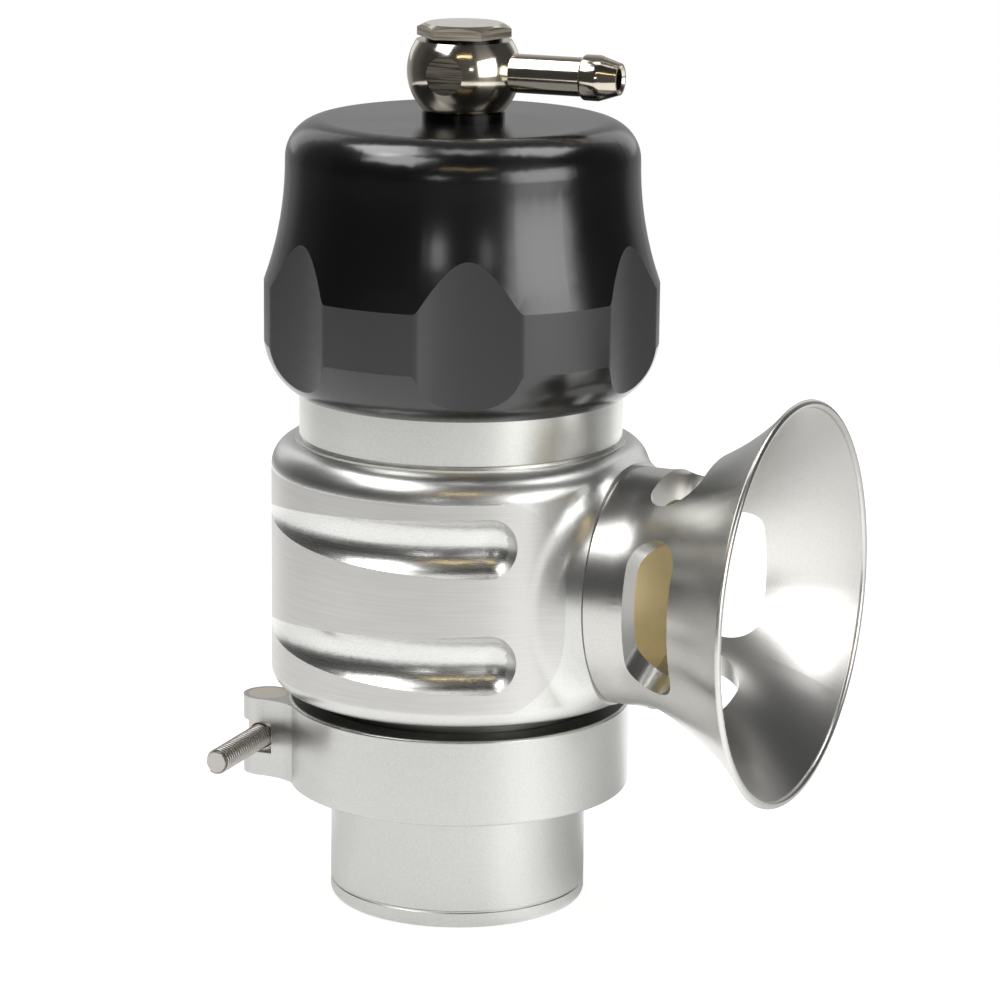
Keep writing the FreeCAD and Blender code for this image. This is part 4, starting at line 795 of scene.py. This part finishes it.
def makeCamera():
    # stood in front of the object, turned by yaw and roll, and then carried round to its azimuth
    lift = math.radians(view["elevation"])
    yaw = math.radians(view["yaw"])
    roll = math.radians(view["roll"])
    place = Vector((0, -view["distance"] * math.cos(lift), view["aimHeight"] + view["distance"] * math.sin(lift)))
    ahead = Vector((0, math.cos(lift), -math.sin(lift)))
    right = Vector((1, 0, 0))
    up = right.cross(ahead)
    aheadTurned = ahead * math.cos(yaw) + right * math.sin(yaw)
    rightTurned = right * math.cos(yaw) - ahead * math.sin(yaw)
    rightRolled = rightTurned * math.cos(roll) + up * math.sin(roll)
    upRolled = up * math.cos(roll) - rightTurned * math.sin(roll)
    axes = Matrix((rightRolled, upRolled, -aheadTurned)).transposed().to_4x4()
    turn = Matrix.Rotation(math.radians(view["azimuth"]), 4, "Z")
    data = bpy.data.cameras.new("camera")
    data.lens = view["lens"]
    data.sensor_width = view["sensor"]
    data.sensor_fit = "HORIZONTAL"
    data.clip_start = view["clipStart"]
    camera = bpy.data.objects.new("camera", data)
    camera.matrix_world = turn @ Matrix.Translation(place) @ axes
    bpy.context.scene.collection.objects.link(camera)
    bpy.context.scene.camera = camera


# Studio: white floor, soft lamps, and a room that metal sees brighter and darker round the object

studio = {
    "floorRadius": 0.42,
    "floorSides": 96,
    "floorGlow": 0.72,
    "floorColour": "BFBFBF",
    "skyFill": 0.4,
    "highShare": 0.35,       # the room's level high up, as a share of that near the horizon
    "highFrom": 0.5,         # and the heights of a direction between which it falls to that
    "highTo": 0.85,
}
# azimuth from the camera's side, and how bright the floor or the room looks in the metal there
floorStops = [(-180, 0.8), (-142, 0.62), (-122, 0.36), (-98, 0.42), (-80, 0.55), (-20, 0.55), (12, 0.6), (42, 0.88),
              (62, 0.7), (84, 0.35), (104, 0.14), (122, 0.16), (142, 1.0), (180, 0.9)]
roomStops = [(-180, 0.5), (-160, 0.42), (-140, 0.32), (-122, 0.1), (-85, 0.04), (-20, 0.05), (0, 0.08), (25, 0.1),
             (38, 0.3), (62, 0.3), (78, 0.06), (122, 0.06), (142, 0.32), (160, 0.4), (180, 0.5)]
# each lamp's name, its azimuth to the right from the camera's side, distance, height, width, tallness, level,
# the height that it aims at, and its colour where it isn't white
lamps = [
    ("top left softbox", -100, 0.27, 0.62, 0.32, 0.26, 5.0, 0.08),
    ("top right softbox", 100, 0.27, 0.62, 0.26, 0.26, 3.8, 0.08),
    ("overhead softbox", 0, 0.02, 0.75, 0.18, 0.18, 2.5, 0.08),
    ("left front softbox", -57, 0.6, 0.82, 0.5, 0.42, 4.0, 0.08),
    ("right front softbox", 50, 0.8, 0.24, 0.6, 0.44, 3.2, 0.06),
    ("small front lamp left", -15, 0.8, 0.24, 0.11, 0.07, 5.0, 0.06),
    ("small front lamp right", 15, 0.8, 0.24, 0.09, 0.05, 3.5, 0.06),
    ("warm strip", 1, 0.7, 0.6, 0.42, 0.03, 6.0, 0.06, "FFE2A8"),
    ("left back softbox", -150, 0.8, 0.4, 0.3, 0.6, 0.6, 0.06),
    ("right back softbox", 152, 0.8, 0.4, 0.3, 0.6, 0.6, 0.06),
]


def roomLevel(tree, vector, stops):
    # a level from the azimuth of a direction, or of a place on the floor, and the vector's own height
    turnedTo = addNode(tree, "ShaderNodeMapping",
                       {"Vector": vector, "Rotation": [0, 0, math.radians(-view["azimuth"])]})
    parts = addNode(tree, "ShaderNodeSeparateXYZ", {"Vector": turnedTo.outputs["Vector"]}).outputs
    away = addNode(tree, "ShaderNodeMath", {0: parts["Y"], 1: -1.0}, operation="MULTIPLY").outputs[0]
    angle = addNode(tree, "ShaderNodeMath", {0: parts["X"], 1: away}, operation="ARCTAN2").outputs[0]
    share = addNode(tree, "ShaderNodeMapRange", {"Value": angle, "From Min": -math.pi, "From Max": math.pi})
    room = addNode(tree, "ShaderNodeValToRGB", {"Fac": share.outputs["Result"]})
    ramp = room.color_ramp
    ramp.interpolation = "EASE"
    for degrees, level in stops[1:-1]:
        ramp.elements.new((degrees + 180) / 360)
    for element, (degrees, level) in zip(ramp.elements, stops):
        element.position = (degrees + 180) / 360
        element.color = (level, level, level, 1)
    return room.outputs["Color"], parts["Z"]


def metalShare(tree, path):
    # 1 for the rays by which metal and glass see the room
    return addNode(tree, "ShaderNodeMath", {0: path["Is Glossy Ray"], 1: path["Is Transmission Ray"]},
                   operation="ADD", use_clamp=True).outputs[0]


def makeFloor():
    # paper that the camera sees white, and metal sees at the level of its stops
    mesh = bpy.data.meshes.new("floor")
    work = bmesh.new()
    bmesh.ops.create_circle(work, cap_ends=True, segments=studio["floorSides"], radius=studio["floorRadius"])
    work.to_mesh(mesh)
    work.free()
    floor = bpy.data.objects.new("floor", mesh)
    bpy.context.scene.collection.objects.link(floor)
    material = bpy.data.materials.new("white paper floor")
    material.use_nodes = True
    tree = material.node_tree
    tree.nodes.clear()
    path = addNode(tree, "ShaderNodeLightPath").outputs
    level = roomLevel(tree, addNode(tree, "ShaderNodeTexCoord").outputs["Object"], floorStops)[0]
    inMetal = addNode(tree, "ShaderNodeMath", {0: level, 1: metalShare(tree, path)}, operation="MULTIPLY").outputs[0]
    glowing = addNode(tree, "ShaderNodeMath", {0: path["Is Camera Ray"], 1: studio["floorGlow"], 2: inMetal},
                      operation="MULTIPLY_ADD").outputs[0]
    glow = addNode(tree, "ShaderNodeEmission", {"Color": (1, 1, 1, 1), "Strength": glowing})
    paper = addNode(tree, "ShaderNodeBsdfDiffuse", {"Color": hexColour(studio["floorColour"])})
    both = addNode(tree, "ShaderNodeAddShader", {0: glow.outputs["Emission"], 1: paper.outputs["BSDF"]})
    addNode(tree, "ShaderNodeOutputMaterial", {"Surface": both.outputs["Shader"]})
    mesh.materials.append(material)


def makeWorld():
    # white to the camera, the room's levels to metal, and an even fill to everything else
    world = bpy.data.worlds.new("studio")
    bpy.context.scene.world = world
    world.use_nodes = True
    tree = world.node_tree
    tree.nodes.clear()
    level, height = roomLevel(tree, addNode(tree, "ShaderNodeTexCoord").outputs["Generated"], roomStops)
    dimmer = addNode(tree, "ShaderNodeMapRange",
                     {"Value": height, "From Min": studio["highFrom"], "From Max": studio["highTo"],
                      "To Min": 1.0, "To Max": studio["highShare"]})
    room = addNode(tree, "ShaderNodeMath", {0: level, 1: dimmer.outputs["Result"]}, operation="MULTIPLY").outputs[0]
    path = addNode(tree, "ShaderNodeLightPath").outputs
    fill = addNode(tree, "ShaderNodeMix", {0: metalShare(tree, path), 2: studio["skyFill"], 3: room})
    eye = addNode(tree, "ShaderNodeMix", {0: path["Is Camera Ray"], 2: fill.outputs[0], 3: 1.0})
    back = addNode(tree, "ShaderNodeBackground", {"Color": (1, 1, 1, 1), "Strength": eye.outputs[0]})
    addNode(tree, "ShaderNodeOutputWorld", {"Surface": back.outputs["Background"]})


def addLamp(name, azimuth, distance, height, width, tall, level, aimHeight, colour="FFFFFF"):
    # level is the lamp's own brightness, whatever its size
    lamp = bpy.data.lights.new(name, "AREA")
    lamp.shape = "RECTANGLE"
    lamp.size = width
    lamp.size_y = tall
    lamp.energy = level * math.pi * width * tall
    lamp.color = hexColour(colour)[:3]
    holder = bpy.data.objects.new(name, lamp)
    angle = math.radians(view["azimuth"] - 90 + azimuth)
    holder.location = (distance * math.cos(angle), distance * math.sin(angle), height)
    aim = Vector((0, 0, aimHeight)) - holder.location
    holder.rotation_euler = aim.to_track_quat("-Z", "Y").to_euler()
    bpy.context.scene.collection.objects.link(holder)


makeFloor()
makeWorld()
makeCamera()
for lamp in lamps:
    addLamp(*lamp)
bpy.context.scene.view_settings.view_transform = "Standard"
print("studio ready")
